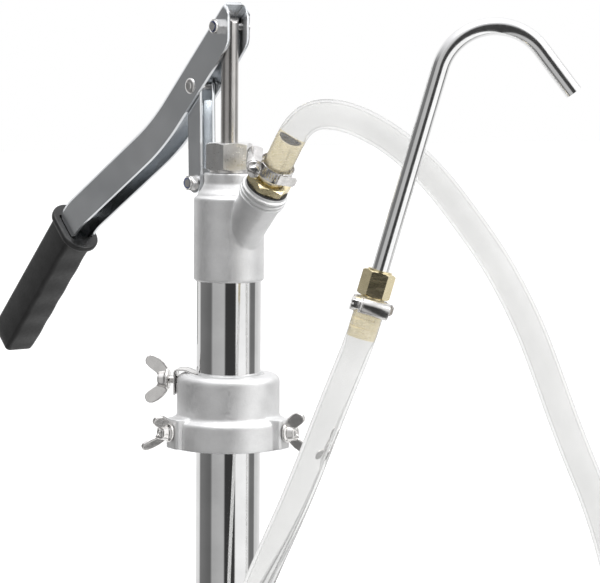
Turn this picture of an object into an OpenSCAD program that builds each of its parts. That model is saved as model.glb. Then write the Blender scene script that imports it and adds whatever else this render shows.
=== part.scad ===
// Hand-lever piston pump for gear oil, clamped on the bung neck of a drum.
// Millimetres. Origin on the pump axis at the adapter's bottom rim, +Z up
// along the suction tube, the lever towards -X and the outlet towards +X.

/* [Suction tube] */
// Outer diameter of the suction tube
tube_d = 45; // [44:0.2:45]
// Wall thickness of the suction tube
tube_wall = 1.5; // [1.2:0.1:1.6]
// Depth of the tube's lower end below the bung seat
tube_drop = 580; // [560:5:700]
// Height of the tube's upper end inside the pump head
tube_top = 160; // [156:1:162]

/* [Bung adapter] */
// Outer diameter of the lower ring
ring_d = 82; // [80:1:84]
// Height of the lower ring's top over the drum
ring_h = 25; // [24:1:27]
// Diameter of the socket that drops over the drum's neck
socket_d = 64; // [62:1:66]
// Height of the socket's shoulder over the drum
socket_depth = 23.4; // [22:0.2:24]
// Outer diameter of the upper collar
collar_d = 72; // [70:1:74]
// Height of the adapter's top over the drum
adapter_h = 56; // [55:1:57]

/* [Wing screws] */
// Thread diameter of the wing screws
stud_d = 6; // [5.5:0.1:6]
// Height of the bung screws above the seat
bung_screw_z = 18; // [17:0.5:19]
// Direction of the first bung screw about the pump axis
bung_screw_turn = -97; // [-110:1:-90]
// Number of bung screws
bung_screws = 3; // [3]
// Height of the collar screw above the seat
collar_screw_z = 50.5; // [50:0.5:51]
// Direction of the collar screw about the pump axis
collar_screw_turn = -137; // [-145:1:-130]

/* [Pump head] */
// Outer diameter of the head's barrel
head_d = 49; // [48.6:0.2:51]
// Height of the head's lower edge
head_z = 121; // [120:0.5:122]
// Height at which the shoulder starts
shoulder_z = 178; // [177:0.5:179]
// Tilt of the outlet branch from the vertical
outlet_tilt = 37.8; // [37:0.2:39]

/* [Piston] */
// Diameter of the piston rod
rod_d = 12; // [11.6:0.1:12]
// Height of the piston crown with the handle down
piston_z = -455; // [-458:1:-440]

/* [Lever] */
// Height of the lever's pivot on the rod with the handle down
pivot_z = 297; // [296.5:0.5:297.5]
// Outer width of the lever channel
lever_w = 19; // [18.8:0.1:19.2]
// Depth of the lever channel
lever_h = 25; // [24.8:0.1:25.2]
// Sheet thickness of the lever
lever_t = 2.2; // [2:0.1:2.3]
// Length of the handle grip
grip_len = 131; // [124:1:134]

/* [Hose and spout] */
// Outer diameter of the delivery hose
hose_d = 20; // [19:0.5:21]
// Outer diameter of the spout tube
spout_d = 11.5; // [11:0.5:12]
// Bend radius of the spout
spout_bend = 37; // [35:0.5:39]

/* [Hidden] */
$fn = 72;

// Clearance of a running fit, on the radius
fit = 0.05;
tube_r = tube_d / 2;
tube_bore_r = tube_r - tube_wall;
rod_r = rod_d / 2;
ring_r = ring_d / 2;
collar_r = collar_d / 2;
stud_r = stud_d / 2;
nut_h = 5.5;

// Lower face of the ring over the drum
ring_foot = 5;
// Lug of a bung screw: reach from the axis, width, lower and upper faces
lug_reach = 46;
lug_w = 16;
lug_z0 = ring_foot + 0.6;
lug_z1 = 27;
// Inner and outer ends of the studs, from the pump axis
bung_stud_in = 27;
bung_stud_out = 55;
collar_stud_in = 24.3;
collar_stud_out = 50.5;

// Shoe between the collar screw and the suction tube
shoe_w = 16;
shoe_t = 1.2;
shoe_in = tube_r + 0.4;
shoe_out = collar_r + 0.6;

// Neck, gland and outlet of the pump head
head_r = head_d / 2;
neck_r = 17.4;
neck_z = 196;
gland_z = 198;
gland_h = 19;
gland_across_flats = 29;
outlet_x = 41;
outlet_z = 186;
outlet_thread_r = 13;
tail_r = 8.75;
tail_bore_r = 6.5;
tail_end = 45;
hex_foot = 4;
hex_top = 10;
hose_start = 11.7;

// Link pivots: on the head's lug and under the lever
link_foot = [-32, 188];
link_head = [-33.5, 256];
link_len = norm(link_head - link_foot);
link_lean = atan2(link_head[0] - link_foot[0], link_head[1] - link_foot[1]);
link_w = 13.6;
link_t = 2.5;
link_half_depth = 7;

// Lever centreline in the X-Z plane, with the two bends of the channel
lever_angles = [223.6, 209.97, 225.6];
lever_bend_1 = [-75, 221.1];
lever_bend_2 = [-186.5, 156.8];
lever_bend_radii = [200, 60];
lever_tail = 111;
grip_foot = [-194.7, 148.4];
grip_angle = lever_angles[2];

// Spout: the plane it bends in stands off the pump axis
spout_turn = 53.13;
spout_offset = [100, -75, 0];
spout_lean = 15.87;
spout_base = [98.5, 139.3];
spout_straight = 135.6;
spout_arc = 126.2;
spout_end = 35;
spout_nut_len = 18;
spout_tail_len = 28;

// Foot valve and strainer
foot_z = -tube_drop;
foot_seat_z = foot_z + 14;
strainer_h = 25;

// Centreline of the delivery hose, from the outlet to the spout
hose_route = [
    [48, 0, 195], [56, 0, 205], [63, 0, 214], [70, 0, 223], [78, 0, 231], [89, 1, 237],
    [101, 3, 239], [114, 9, 238], [128.2, 17.2, 232], [140.4, 27.5, 223],
    [151.6, 37.7, 211], [161.7, 46.9, 198], [170.9, 55.2, 183], [182.1, 64.4, 164],
    [193.3, 73.6, 144], [203.5, 80.8, 122], [212.7, 88.1, 99], [221.8, 95.3, 69],
    [232, 101.5, 38], [241.2, 108.8, 10], [250.4, 116, -17], [260.4, 125, -62],
    [267.4, 130, -108], [268.4, 130, -155], [263.4, 123, -200], [250.4, 108, -241],
    [229.4, 86, -272], [204.4, 59, -291], [177.4, 30, -296], [150.4, 0, -285],
    [127.4, -25, -261], [109.4, -45, -228], [97.4, -58, -188], [92.4, -63, -144],
    [95.1, -59.4, -101], [104.8, -47.8, -60], [116.5, -37.1, -25], [126.2, -28.5, 7],
    [134.9, -20.9, 38], [144, -13, 69], [152, -6, 95], [156, 0, 121]];

// A ring with outer radius ro and bore ri between two heights
module ring(ro, ri, z0, z1) {
    translate([0, 0, z0])
        difference() {
            cylinder(r = ro, h = z1 - z0);
            translate([0, 0, -1]) cylinder(r = ri, h = z1 - z0 + 2);
        }
}

// A hexagonal prism measured across its flats, with chamfered corners
module hex_prism(across_flats, z0, z1) {
    corner_r = across_flats / sqrt(3);
    chamfer = corner_r - across_flats / 2;
    translate([0, 0, z0])
        intersection() {
            cylinder(r = corner_r, h = z1 - z0, $fn = 6);
            rotate_extrude()
                polygon([[0, 0], [corner_r - chamfer, 0],
                    [corner_r, chamfer * 0.6],
                    [corner_r, z1 - z0 - chamfer * 0.6],
                    [corner_r - chamfer, z1 - z0], [0, z1 - z0]]);
        }
}

// Puts the X axis of a piece along a horizontal radius of the pump
module radial(turn, z) {
    translate([0, 0, z]) rotate([0, 0, turn]) rotate([0, 90, 0]) children();
}

// Local +Z along the outlet branch, origin in the middle of its thread
module outlet_frame() {
    translate([outlet_x, 0, outlet_z]) rotate([0, outlet_tilt, 0]) children();
}

// Local X-Z plane is the plane in which the spout bends
module spout_frame() {
    translate(spout_offset) rotate([0, 0, spout_turn]) children();
}

// Local +Z up the straight of the spout, origin on top of its hex
module nozzle_frame() {
    spout_frame()
        translate([spout_base[0], 0, spout_base[1]])
            rotate([0, spout_lean, 0]) children();
}

// Local +Z from the link's lower pivot to its upper one
module link_frame() {
    translate([link_foot[0], 0, link_foot[1]])
        rotate([0, link_lean, 0]) children();
}

// Local +Z down the handle grip, local +X towards the lever's back
module grip_frame() {
    translate([grip_foot[0], 0, grip_foot[1]])
        rotate([0, -(grip_angle - 90), 0]) children();
}

// Cross pin along Y at a point of the X-Z plane, from y0 to y1
module cross_pin(at, r, y0, y1) {
    translate([at[0], y1, at[1]]) rotate([90, 0, 0]) cylinder(r = r, h = y1 - y0);
}

// A flat outline in the X-Z plane, given a width along Y
module side_plate(width) {
    rotate([90, 0, 0]) linear_extrude(width, center = true) children();
}

// ---- Bung adapter -------------------------------------------------------

// Radius and height pairs of a rounded outer edge
function edge_arc(r, z, radius, steps = 5) =
    [for (i = [0:steps])
        [r - radius + radius * cos(90 * i / steps),
            z - radius + radius * sin(90 * i / steps)]];

module adapter_casting() {
    color("gainsboro")
        difference() {
            union() {
                rotate_extrude()
                    polygon(concat([[0, ring_foot], [ring_r, ring_foot]],
                        edge_arc(ring_r, ring_h, 3),
                        [[collar_r + 1.5, ring_h], [collar_r, ring_h + 2.5]],
                        edge_arc(collar_r, adapter_h, 5),
                        [[0, adapter_h]]));
                for (i = [0:bung_screws - 1])
                    rotate([0, 0, bung_screw_turn + 360 / bung_screws * i])
                        bung_lug();
            }
            translate([0, 0, -1])
                cylinder(r = tube_r + 2 * fit, h = adapter_h + 2);
            translate([0, 0, -1]) cylinder(d = socket_d, h = socket_depth + 1);
            for (i = [0:bung_screws - 1])
                radial(bung_screw_turn + 360 / bung_screws * i, bung_screw_z)
                    translate([0, 0, tube_r + 4])
                        cylinder(r = stud_r + fit, h = lug_reach);
            radial(collar_screw_turn, collar_screw_z)
                cylinder(r = stud_r + fit, h = collar_r + 1);
            rotate([0, 0, collar_screw_turn])
                translate([tube_r - 3, -shoe_w / 2 - 0.3, collar_screw_z - 12])
                    cube([3 + shoe_in - tube_r + shoe_t + 0.2, shoe_w + 0.6, adapter_h]);
        }
}

module bung_lug() {
    corner = 3;
    reach = lug_reach - corner;
    translate([0, 0, lug_z0]) linear_extrude(lug_z1 - lug_z0) union() {
        translate([socket_d / 2 + 2, -lug_w / 2])
            square([reach - socket_d / 2 - 2, lug_w]);
        translate([socket_d / 2 + 2, -lug_w / 2 + corner])
            square([lug_reach - socket_d / 2 - 2, lug_w - 2 * corner]);
        for (side = [-1, 1])
            translate([reach, side * (lug_w / 2 - corner)]) circle(r = corner);
    }
}

module collar_shoe() {
    leg_in = 18;
    leg_out = 17;
    top_z = adapter_h + 1.6;
    color("silver")
        rotate([0, 0, collar_screw_turn])
            difference() {
                translate([0, shoe_w / 2, 0]) rotate([90, 0, 0])
                    linear_extrude(shoe_w)
                        polygon([[shoe_in, top_z - leg_in],
                            [shoe_in + shoe_t, top_z - leg_in],
                            [shoe_in + shoe_t, top_z],
                            [shoe_out, top_z], [shoe_out, top_z - leg_out],
                            [shoe_out + shoe_t, top_z - leg_out],
                            [shoe_out + shoe_t, top_z],
                            [shoe_out, top_z + shoe_t],
                            [shoe_in + shoe_t, top_z + shoe_t],
                            [shoe_in, top_z]]);
                translate([shoe_out - 2, 0, collar_screw_z])
                    rotate([0, 90, 0]) cylinder(r = stud_r + 0.4, h = 6);
            }
}

module stud(inner, outer) {
    tip = 1.2;
    color("silver")
        translate([0, 0, inner]) rotate_extrude()
            polygon([[0, 0], [stud_r - tip, 0], [stud_r, tip],
                [stud_r, outer - inner - 0.6], [stud_r - 0.6, outer - inner],
                [0, outer - inner]]);
}

// Wing nut head riveted on the outer end of a stud
module wing_head(outer) {
    hub_h = 8.2;
    wing_t = 2.4;
    color("whitesmoke")
        translate([0, 0, outer - hub_h - 0.4]) difference() {
            union() {
                rotate_extrude()
                    polygon([[0, 0], [6.2, 0], [7.2, 0.8], [7.2, 2],
                        [5.6, 3.4], [4.9, hub_h - 0.6], [4.4, hub_h], [0, hub_h]]);
                for (side = [0, 180]) rotate([0, 0, side])
                    side_plate(wing_t) polygon([[0, 1], [5.5, 1.6], [9, 3.4],
                        [12.6, 6.8], [15.6, 10.6], [16.7, 13.4], [16.2, 15.8],
                        [14.4, 17], [12.2, 16.6], [10, 14.4], [7.6, 10.8],
                        [5.4, 8], [0, 6]]);
            }
            translate([0, 0, -1]) cylinder(r = stud_r + fit, h = 30);
        }
}

// ---- Tube and foot valve ------------------------------------------------

module suction_tube() {
    color("lightsteelblue") ring(tube_r, tube_bore_r, foot_z, tube_top);
}

// Ring of ports through a valve plate
module ports(count, pitch_r, r, z0, z1) {
    for (i = [0:count - 1])
        rotate([0, 0, 360 / count * (i + 0.5)])
            translate([pitch_r, 0, z0]) cylinder(r = r, h = z1 - z0);
}

module foot_valve_body() {
    color("goldenrod")
        difference() {
            union() {
                translate([0, 0, foot_z]) cylinder(r = tube_bore_r - 0.02, h = 14);
                translate([0, 0, foot_z - 5]) cylinder(r = tube_r, h = 5);
            }
            translate([0, 0, foot_z - 6]) cylinder(r = 3.02, h = 30);
            ports(6, 11, 3.5, foot_z - 6, foot_seat_z + 1);
        }
}

module foot_valve_pin() {
    color("silver") union() {
        translate([0, 0, foot_z - 5]) cylinder(r = 3, h = 30);
        translate([0, 0, foot_seat_z + 8]) cylinder(r = 6, h = 3);
    }
}

module foot_valve_disc() {
    color("dimgray") ring(16, 3.1, foot_seat_z, foot_seat_z + 3);
}

module strainer() {
    wall = 1.2;
    slots = 12;
    strainer_r = tube_r - 0.5;
    strainer_z = foot_z - 5 - strainer_h;
    color("silver")
        difference() {
            translate([0, 0, strainer_z]) cylinder(r = strainer_r, h = strainer_h);
            translate([0, 0, strainer_z + wall])
                cylinder(r = strainer_r - wall, h = strainer_h);
            for (i = [0:slots / 2 - 1])
                rotate([0, 0, 180 / (slots / 2) * i])
                    translate([-30, -1.5, strainer_z + 4]) cube([60, 3, 14]);
        }
}

// ---- Pump head ----------------------------------------------------------

module pump_head() {
    color("gainsboro")
        difference() {
            union() {
                rotate_extrude()
                    polygon(concat([[0, head_z], [head_r - 1.4, head_z],
                        [head_r, head_z + 1.4]],
                        edge_arc(head_r, shoulder_z + 2, 2, 3),
                        [[21.5, shoulder_z + 4.2], [19.2, shoulder_z + 7],
                            [neck_r, shoulder_z + 11], [neck_r, neck_z],
                            [0, neck_z]]));
                translate([0, 0, neck_z - 1]) cylinder(r = 11.5, h = 13);
                outlet_frame() outlet_branch();
                link_lug();
            }
            translate([0, 0, head_z - 1])
                cylinder(r = tube_r + 0.02, h = tube_top + 2 - head_z + 1);
            translate([0, 0, tube_top]) cylinder(r = 18.5, h = 14);
            translate([0, 0, tube_top]) cylinder(r = rod_r + 0.6, h = 60);
            translate([0, 0, 180]) cylinder(r = 9.5, h = 40);
            outlet_frame() {
                translate([0, 0, -38]) cylinder(r = 9, h = 40);
                translate([0, 0, -12]) cylinder(r = outlet_thread_r + 0.02, h = 30);
            }
            cross_pin(link_foot, stud_r + 0.02, -10, 10);
        }
}

// Tapered branch with a ribbed rim
module outlet_branch() {
    ribs = 3;
    rib_pitch = 3.1;
    translate([0, 0, -46]) cylinder(r1 = 12, r2 = 15.4, h = 39);
    translate([0, 0, -46]) sphere(r = 12);
    translate([0, 0, -8]) cylinder(r = 15.2, h = 11);
    for (i = [0:ribs - 1])
        translate([0, 0, -7.4 + rib_pitch * i]) rotate_extrude()
            polygon([[14, 0], [15.6, 0.1], [16.8, 0.8], [16.8, 1.6],
                [15.6, 2.3], [14, 2.4]]);
}

// Ear on the neck that carries the link's lower pivot
module link_lug() {
    ear_r = 6.2;
    side_plate(8) union() {
        translate(link_foot) circle(r = ear_r);
        polygon([[link_foot[0], link_foot[1] + ear_r],
            [-14, link_foot[1] + ear_r + 1], [-14, shoulder_z - 6],
            [-22, shoulder_z - 2],
            [link_foot[0] - ear_r * 0.5, link_foot[1] - ear_r * 0.87]]);
    }
}

module tube_gasket() {
    color("black") ring(tube_r - 0.1, tube_bore_r - 1, tube_top, tube_top + 2);
}

module guide_bush() {
    color("darkgoldenrod") ring(9.48, rod_r + fit, 180, 190);
}

module gland_packing() {
    color("dimgray")
        for (i = [0:2]) ring(9.4, rod_r + fit, 190 + 4.2 * i, 194.1 + 4.2 * i);
}

module gland_follower() {
    color("goldenrod") ring(9.4, rod_r + 0.1, 202.8, 208.5);
}

module gland_nut() {
    color("lightgray")
        difference() {
            rotate([0, 0, 9]) union() {
                hex_prism(gland_across_flats, gland_z, gland_z + gland_h);
                ring(13.5, 11.55, gland_z - 1.5, gland_z + 1);
            }
            translate([0, 0, gland_z - 2]) cylinder(r = 11.55, h = 12.5);
            translate([0, 0, gland_z - 2]) cylinder(r = rod_r + 0.5, h = gland_h + 4);
        }
}

module link_bolt() {
    color("silver") union() {
        cross_pin(link_foot, stud_r, -13, 9);
        translate([link_foot[0], 7.9, link_foot[1]]) rotate([-90, 30, 0])
            hex_prism(10, 0, 4.2);
    }
}

module link_nut() {
    color("silver")
        difference() {
            translate([link_foot[0], -7.9, link_foot[1]]) rotate([90, 30, 0]) union() {
                hex_prism(10, 0, 4);
                ring(4.4, 2.5, 4, nut_h);
            }
            cross_pin(link_foot, stud_r + 0.02, -20, 0);
        }
}

module link_washers() {
    color("silver")
        difference() {
            union() {
                cross_pin(link_foot, 5.8, -7.9, -link_w / 2 - 0.1);
                cross_pin(link_foot, 5.8, link_w / 2 + 0.1, 7.9);
            }
            cross_pin(link_foot, stud_r + 0.02, -10, 10);
        }
}

// ---- Outlet, hose and spout --------------------------------------------

// Barbed tail: shallow cones one behind the other
module barbs(count, pitch, r, lift) {
    for (i = [0:count - 1])
        translate([0, 0, pitch * i]) cylinder(r1 = r + lift, r2 = r, h = pitch);
}

module outlet_fitting() {
    color("gold")
        outlet_frame() difference() {
            union() {
                translate([0, 0, -11]) cylinder(r = outlet_thread_r, h = 15);
                hex_prism(27, hex_foot, hex_top);
                cylinder(r = tail_r - 0.8, h = tail_end);
                translate([0, 0, hose_start]) barbs(6, 5.5, tail_r - 0.8, 0.8);
            }
            translate([0, 0, -12]) cylinder(r = tail_bore_r, h = tail_end + 13);
        }
}

module outlet_gasket() {
    color("firebrick") outlet_frame() ring(15, outlet_thread_r + 0.1, 3, hex_foot);
}

// Width and bore radius of a hose clamp's band
band_w = 9;
band_r = hose_d / 2 + 1.5;

// Puts a clamp at [height along the hose, turn of its housing, flip of its head]
module clamp_place(place) {
    rotate([0, 0, place[1]]) translate([0, 0, place[0] + band_w / 2])
        rotate([place[2], 0, 0]) translate([0, 0, -band_w / 2]) children();
}

// Worm-drive band: local +Z along the hose, housing towards local +X
module clamp_band() {
    difference() {
        union() {
            ring(band_r + 0.8, band_r, 0, band_w);
            translate([band_r - 0.4, -13, -1]) cube([9.6, 20, band_w + 2]);
        }
        translate([0, 0, -1]) cylinder(r = band_r, h = band_w + 2);
        translate([band_r + 4.2, 20, band_w / 2]) rotate([90, 0, 0])
            cylinder(r = 3 + fit, h = 40);
    }
}

module clamp_screw() {
    translate([band_r + 4.2, 0, band_w / 2])
        rotate([-90, 0, 0]) difference() {
            union() {
                translate([0, 0, -14.5]) cylinder(r = 3, h = 25);
                hex_prism(8, 8.4, 14.2);
                ring(5.4, 2, 7.4, 8.6);
            }
            translate([-3.5, -0.5, 13]) cube([7, 1, 2]);
        }
}

// Places of the two clamps
outlet_clamp = [14.5, -123, 0];
nozzle_clamp = [-28.5, -88, 180];

module outlet_clamp_band() {
    color("silver") outlet_frame() clamp_place(outlet_clamp) clamp_band();
}

module outlet_clamp_screw() {
    color("silver") outlet_frame() clamp_place(outlet_clamp) clamp_screw();
}

module nozzle_clamp_band() {
    color("silver") nozzle_frame() clamp_place(nozzle_clamp) clamp_band();
}

module nozzle_clamp_screw() {
    color("silver") nozzle_frame() clamp_place(nozzle_clamp) clamp_screw();
}

// Sweep of a round section along hose_route
hose_sides = 12;
hose_last = len(hose_route) - 1;
function unit(v) = v / norm(v);
function heading(i) =
    unit(hose_route[min(i + 1, hose_last)] - hose_route[max(i - 1, 0)]);
function side_of(i) = unit(cross(heading(i), [0.8, -0.6, 0]));
function hose_point(i, k) =
    let (turn = 360 * k / hose_sides)
    hose_route[i] + hose_d / 2 * (cos(turn) * side_of(i)
        + sin(turn) * cross(heading(i), side_of(i)));

module delivery_hose() {
    points = [for (i = [0:hose_last]) for (k = [0:hose_sides - 1]) hose_point(i, k)];
    walls = [for (i = [0:hose_last - 1]) for (k = [0:hose_sides - 1])
        let (a = i * hose_sides + k, b = i * hose_sides + (k + 1) % hose_sides)
        [a, a + hose_sides, b + hose_sides, b]];
    caps = [[for (k = [0:hose_sides - 1]) k],
        [for (k = [hose_sides - 1:-1:0]) hose_last * hose_sides + k]];
    color([0.93, 0.93, 0.9, 0.6]) polyhedron(points, concat(walls, caps));
}

module spout_tail() {
    color("gold")
        nozzle_frame() difference() {
            union() {
                translate([0, 0, -spout_nut_len - spout_tail_len])
                    cylinder(r = tail_r - 0.8, h = spout_tail_len);
                translate([0, 0, -spout_nut_len - 3]) rotate([180, 0, 0])
                    barbs(4, 6, tail_r - 0.8, 0.8);
                translate([0, 0, -spout_nut_len - 0.1]) cylinder(r = 6.4, h = 5);
            }
            translate([0, 0, -60]) cylinder(r = 4.6, h = 60);
        }
}

module spout_nut() {
    color("gold")
        nozzle_frame() difference() {
            union() {
                hex_prism(19, -spout_nut_len, -1.2);
                ring(8, 5, -1.4, 0);
            }
            translate([0, 0, -spout_nut_len - 1])
                cylinder(r = spout_d / 2 + 0.02, h = spout_nut_len + 2);
            translate([0, 0, -spout_nut_len - 1]) cylinder(r = 6.42, h = 6.1);
        }
}

module spout_tube() {
    bore_r = spout_d / 2 - 1;
    straight = spout_straight + 12;
    arc_start = 180 - spout_lean;
    arc_x = spout_base[0] + spout_straight * sin(spout_lean)
        + spout_bend * cos(spout_lean);
    arc_z = spout_base[1] + spout_straight * cos(spout_lean)
        - spout_bend * sin(spout_lean);
    color("lightgray") union() {
        nozzle_frame() ring(spout_d / 2, bore_r, -12, spout_straight);
        spout_frame() translate([arc_x, 0, arc_z]) rotate([90, 0, 0]) {
            intersection() {
                rotate_extrude() translate([spout_bend, 0]) difference() {
                    circle(r = spout_d / 2 - 0.02);
                    circle(r = bore_r + 0.02);
                }
                linear_extrude(spout_d + 2, center = true)
                    polygon(concat([[0, 0]], [for (i = [0:3])
                        let (a = arc_start + 0.4 - (spout_arc + 0.8) * i / 3)
                        3 * spout_bend * [cos(a), sin(a)]]));
            }
            rotate([0, 0, arc_start - spout_arc]) translate([spout_bend, 0, 0])
                rotate([90, 0, 0]) ring(spout_d / 2, bore_r, 0, spout_end);
        }
    }
}

// ---- Rod and piston -----------------------------------------------------

module piston_rod() {
    thread_r = 4;
    dome_r = 6.5;
    stem_z = piston_z - 0.2;
    color("silver")
        difference() {
            union() {
                translate([0, 0, stem_z])
                    cylinder(r = rod_r, h = pivot_z - stem_z);
                intersection() {
                    translate([0, 0, pivot_z - 1]) cylinder(r = rod_r, h = dome_r + 2);
                    cross_pin([0, pivot_z], dome_r, -10, 10);
                }
                translate([0, 0, piston_z - 30]) cylinder(r = thread_r, h = 31);
            }
            cross_pin([0, pivot_z], stud_r + fit, -10, 10);
        }
}

module piston_stop_ring() {
    color("silver") ring(10, rod_r + 0.02, piston_z + 6.5, piston_z + 10);
}

module piston_body() {
    color("goldenrod")
        difference() {
            ring(18.4, 4.02, piston_z - 14, piston_z - 0.2);
            ports(6, 12, 3.4, piston_z - 15, piston_z + 1);
        }
}

module piston_cup() {
    color("saddlebrown")
        difference() {
            translate([0, 0, piston_z - 18]) union() {
                cylinder(r = tube_bore_r - fit, h = 4);
                ring(tube_bore_r - fit, 18.6, 0, 12);
            }
            translate([0, 0, piston_z - 19]) cylinder(r = 4.02, h = 20);
            ports(6, 12, 3.4, piston_z - 20, piston_z);
        }
}

module piston_plate() {
    color("silver")
        difference() {
            ring(18, 4.02, piston_z - 21, piston_z - 18);
            ports(6, 12, 3.4, piston_z - 25, piston_z);
        }
}

module piston_nut() {
    color("silver")
        difference() {
            hex_prism(13, piston_z - 27.5, piston_z - 21);
            translate([0, 0, piston_z - 40]) cylinder(r = 4.02, h = 30);
        }
}

module piston_valve_disc() {
    color("dimgray") ring(16.5, rod_r + 0.1, piston_z, piston_z + 2.5);
}

// ---- Lever, grip and link -----------------------------------------------

// Points on the arc of a bend, offset to the left of the direction of travel
function bend_arc(corner, a1, a2, radius, off, steps = 8) =
    let (turn = a2 - a1, s = sign(turn),
        start = corner - [cos(a1), sin(a1)] * radius * tan(abs(turn) / 2),
        centre = start + s * radius * [-sin(a1), cos(a1)])
    [for (i = [0:steps])
        let (a = a1 + turn * i / steps)
        centre - s * (radius - s * off) * [-sin(a), cos(a)]];

// Edge of the lever at an offset from its centreline, from pivot to grip
function lever_edge(off, tail_off) =
    let (a = lever_angles, d = [cos(a[2]), sin(a[2])], n = [-sin(a[2]), cos(a[2])])
    concat(bend_arc(lever_bend_1, a[0], a[1], lever_bend_radii[0], off),
        bend_arc(lever_bend_2, a[1], a[2], lever_bend_radii[1], off),
        [lever_bend_2 + 8.6 * d + off * n, lever_bend_2 + 11.4 * d + tail_off * n,
            lever_bend_2 + lever_tail * d + tail_off * n]);

// Reverses a list of points
function reversed(points) = [for (i = [len(points) - 1:-1:0]) points[i]];

module lever_channel() {
    half = lever_h / 2;
    tail_half = 11;
    color("lightslategray")
        difference() {
            side_plate(lever_w)
                polygon(concat([[10, 303], [7.5, 310], [4, 313.6]],
                    lever_edge(-half, -tail_half),
                    reversed(lever_edge(half, tail_half)),
                    [[3, 278], [8, 283.4], [10, 289]]));
            side_plate(lever_w - 2 * lever_t)
                polygon(concat([[20, 297], [4.4, 310.6]],
                    lever_edge(-half + lever_t, -tail_half + lever_t),
                    reversed(lever_edge(half + 12, tail_half + 12)),
                    [[10, 265]]));
            cross_pin([0, pivot_z], stud_r + 0.02, -20, 20);
            cross_pin(link_head, 3.02, -20, 20);
        }
}

// Rounded rectangle: depth along X, width along Y
module rounded_section(depth, width, corner) {
    square([depth - 2 * corner, width], center = true);
    square([depth, width - 2 * corner], center = true);
    for (x = [-1, 1]) for (y = [-1, 1])
        translate([x * (depth / 2 - corner), y * (width / 2 - corner)])
            circle(r = corner);
}

module grip() {
    depth = 28;
    width = 25;
    collar_t = 5;
    color([0.12, 0.12, 0.12])
        grip_frame() difference() {
            union() {
                linear_extrude(grip_len) rounded_section(depth, width, 5);
                linear_extrude(collar_t) rounded_section(46, 30, 14.9);
            }
            translate([0, 0, -1]) linear_extrude(lever_tail - 8)
                square([24, lever_w + 0.6], center = true);
        }
}

module pivot_bolt() {
    color("silver") union() {
        cross_pin([0, pivot_z], stud_r, -lever_w / 2 - 6, lever_w / 2 + 0.5);
        translate([0, lever_w / 2, pivot_z]) rotate([-90, 0, 0])
            hex_prism(10, 0, 4.2);
    }
}

module pivot_nut() {
    color("silver")
        difference() {
            translate([0, -lever_w / 2, pivot_z]) rotate([90, 0, 0]) union() {
                hex_prism(10, 0, 4);
                ring(4.4, 2.5, 4, nut_h);
            }
            cross_pin([0, pivot_z], stud_r + 0.02, -30, 0);
        }
}

// Flat rivet heads seated in the lever's two flanges
module rivet_heads() {
    seat = lever_w / 2;
    color("silver")
        for (side = [-1, 1])
            translate([link_head[0], side * seat, link_head[1]])
                rotate([side * -90, 0, 0]) rotate_extrude()
                    polygon([[0, -lever_t], [3, -lever_t], [3, 0], [5.4, 0],
                        [5, 0.9], [3.6, 1.4], [0, 1.4]]);
}

module swing_link() {
    web_start = 10;
    color("lightslategray")
        link_frame() difference() {
            side_plate(link_w) union() {
                translate([-link_half_depth, 0])
                    square([2 * link_half_depth, link_len]);
                circle(r = link_half_depth);
                translate([0, link_len]) circle(r = link_half_depth);
            }
            translate([-link_half_depth + link_t, -link_w / 2 + link_t, -10])
                cube([20, link_w - 2 * link_t, link_len + 20]);
            translate([-10, -link_w / 2 + link_t, -10])
                cube([20, link_w - 2 * link_t, 10 + web_start]);
            translate([-10, -link_w / 2 + link_t, link_len - web_start])
                cube([20, link_w - 2 * link_t, 20]);
            cross_pin([0, 0], stud_r + fit, -10, 10);
            cross_pin([0, link_len], 3.02, -10, 10);
        }
}

module link_pin() {
    color("silver") cross_pin(link_head, 3, -link_w / 2 - 0.2, link_w / 2 + 0.2);
}

adapter_casting();
collar_shoe();
radial(bung_screw_turn, bung_screw_z) stud(bung_stud_in, bung_stud_out);  // bung_stud_1
radial(bung_screw_turn + 120, bung_screw_z) stud(bung_stud_in, bung_stud_out);  // bung_stud_2
radial(bung_screw_turn + 240, bung_screw_z) stud(bung_stud_in, bung_stud_out);  // bung_stud_3
radial(collar_screw_turn, collar_screw_z) stud(collar_stud_in, collar_stud_out);  // collar_stud
radial(bung_screw_turn, bung_screw_z) rotate([0, 0, 140]) wing_head(bung_stud_out);  // bung_wing_1
radial(bung_screw_turn + 120, bung_screw_z) rotate([0, 0, 25]) wing_head(bung_stud_out);  // bung_wing_2
radial(bung_screw_turn + 240, bung_screw_z) rotate([0, 0, 80]) wing_head(bung_stud_out);  // bung_wing_3
radial(collar_screw_turn, collar_screw_z) rotate([0, 0, 15]) wing_head(collar_stud_out);  // collar_wing
suction_tube();
pump_head();
tube_gasket();
guide_bush();
gland_packing();
gland_follower();
gland_nut();
link_bolt();
link_nut();
link_washers();
outlet_fitting();
outlet_gasket();
outlet_clamp_band();
outlet_clamp_screw();
delivery_hose();
nozzle_clamp_band();
nozzle_clamp_screw();
spout_tail();
spout_nut();
spout_tube();
foot_valve_body();
foot_valve_pin();
foot_valve_disc();
strainer();
piston_rod();
piston_stop_ring();
piston_body();
piston_cup();
piston_plate();
piston_nut();
piston_valve_disc();
lever_channel();
grip();
pivot_bolt();
pivot_nut();
rivet_heads();
swing_link();
link_pin();
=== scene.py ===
"""Looks of a hand-lever piston pump for gear oil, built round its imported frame."""

import logging
import math
from contextlib import contextmanager
from dataclasses import dataclass
from enum import Enum
from typing import Callable, Iterator

import bpy
import bmesh
from mathutils import Matrix, Vector


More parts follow.
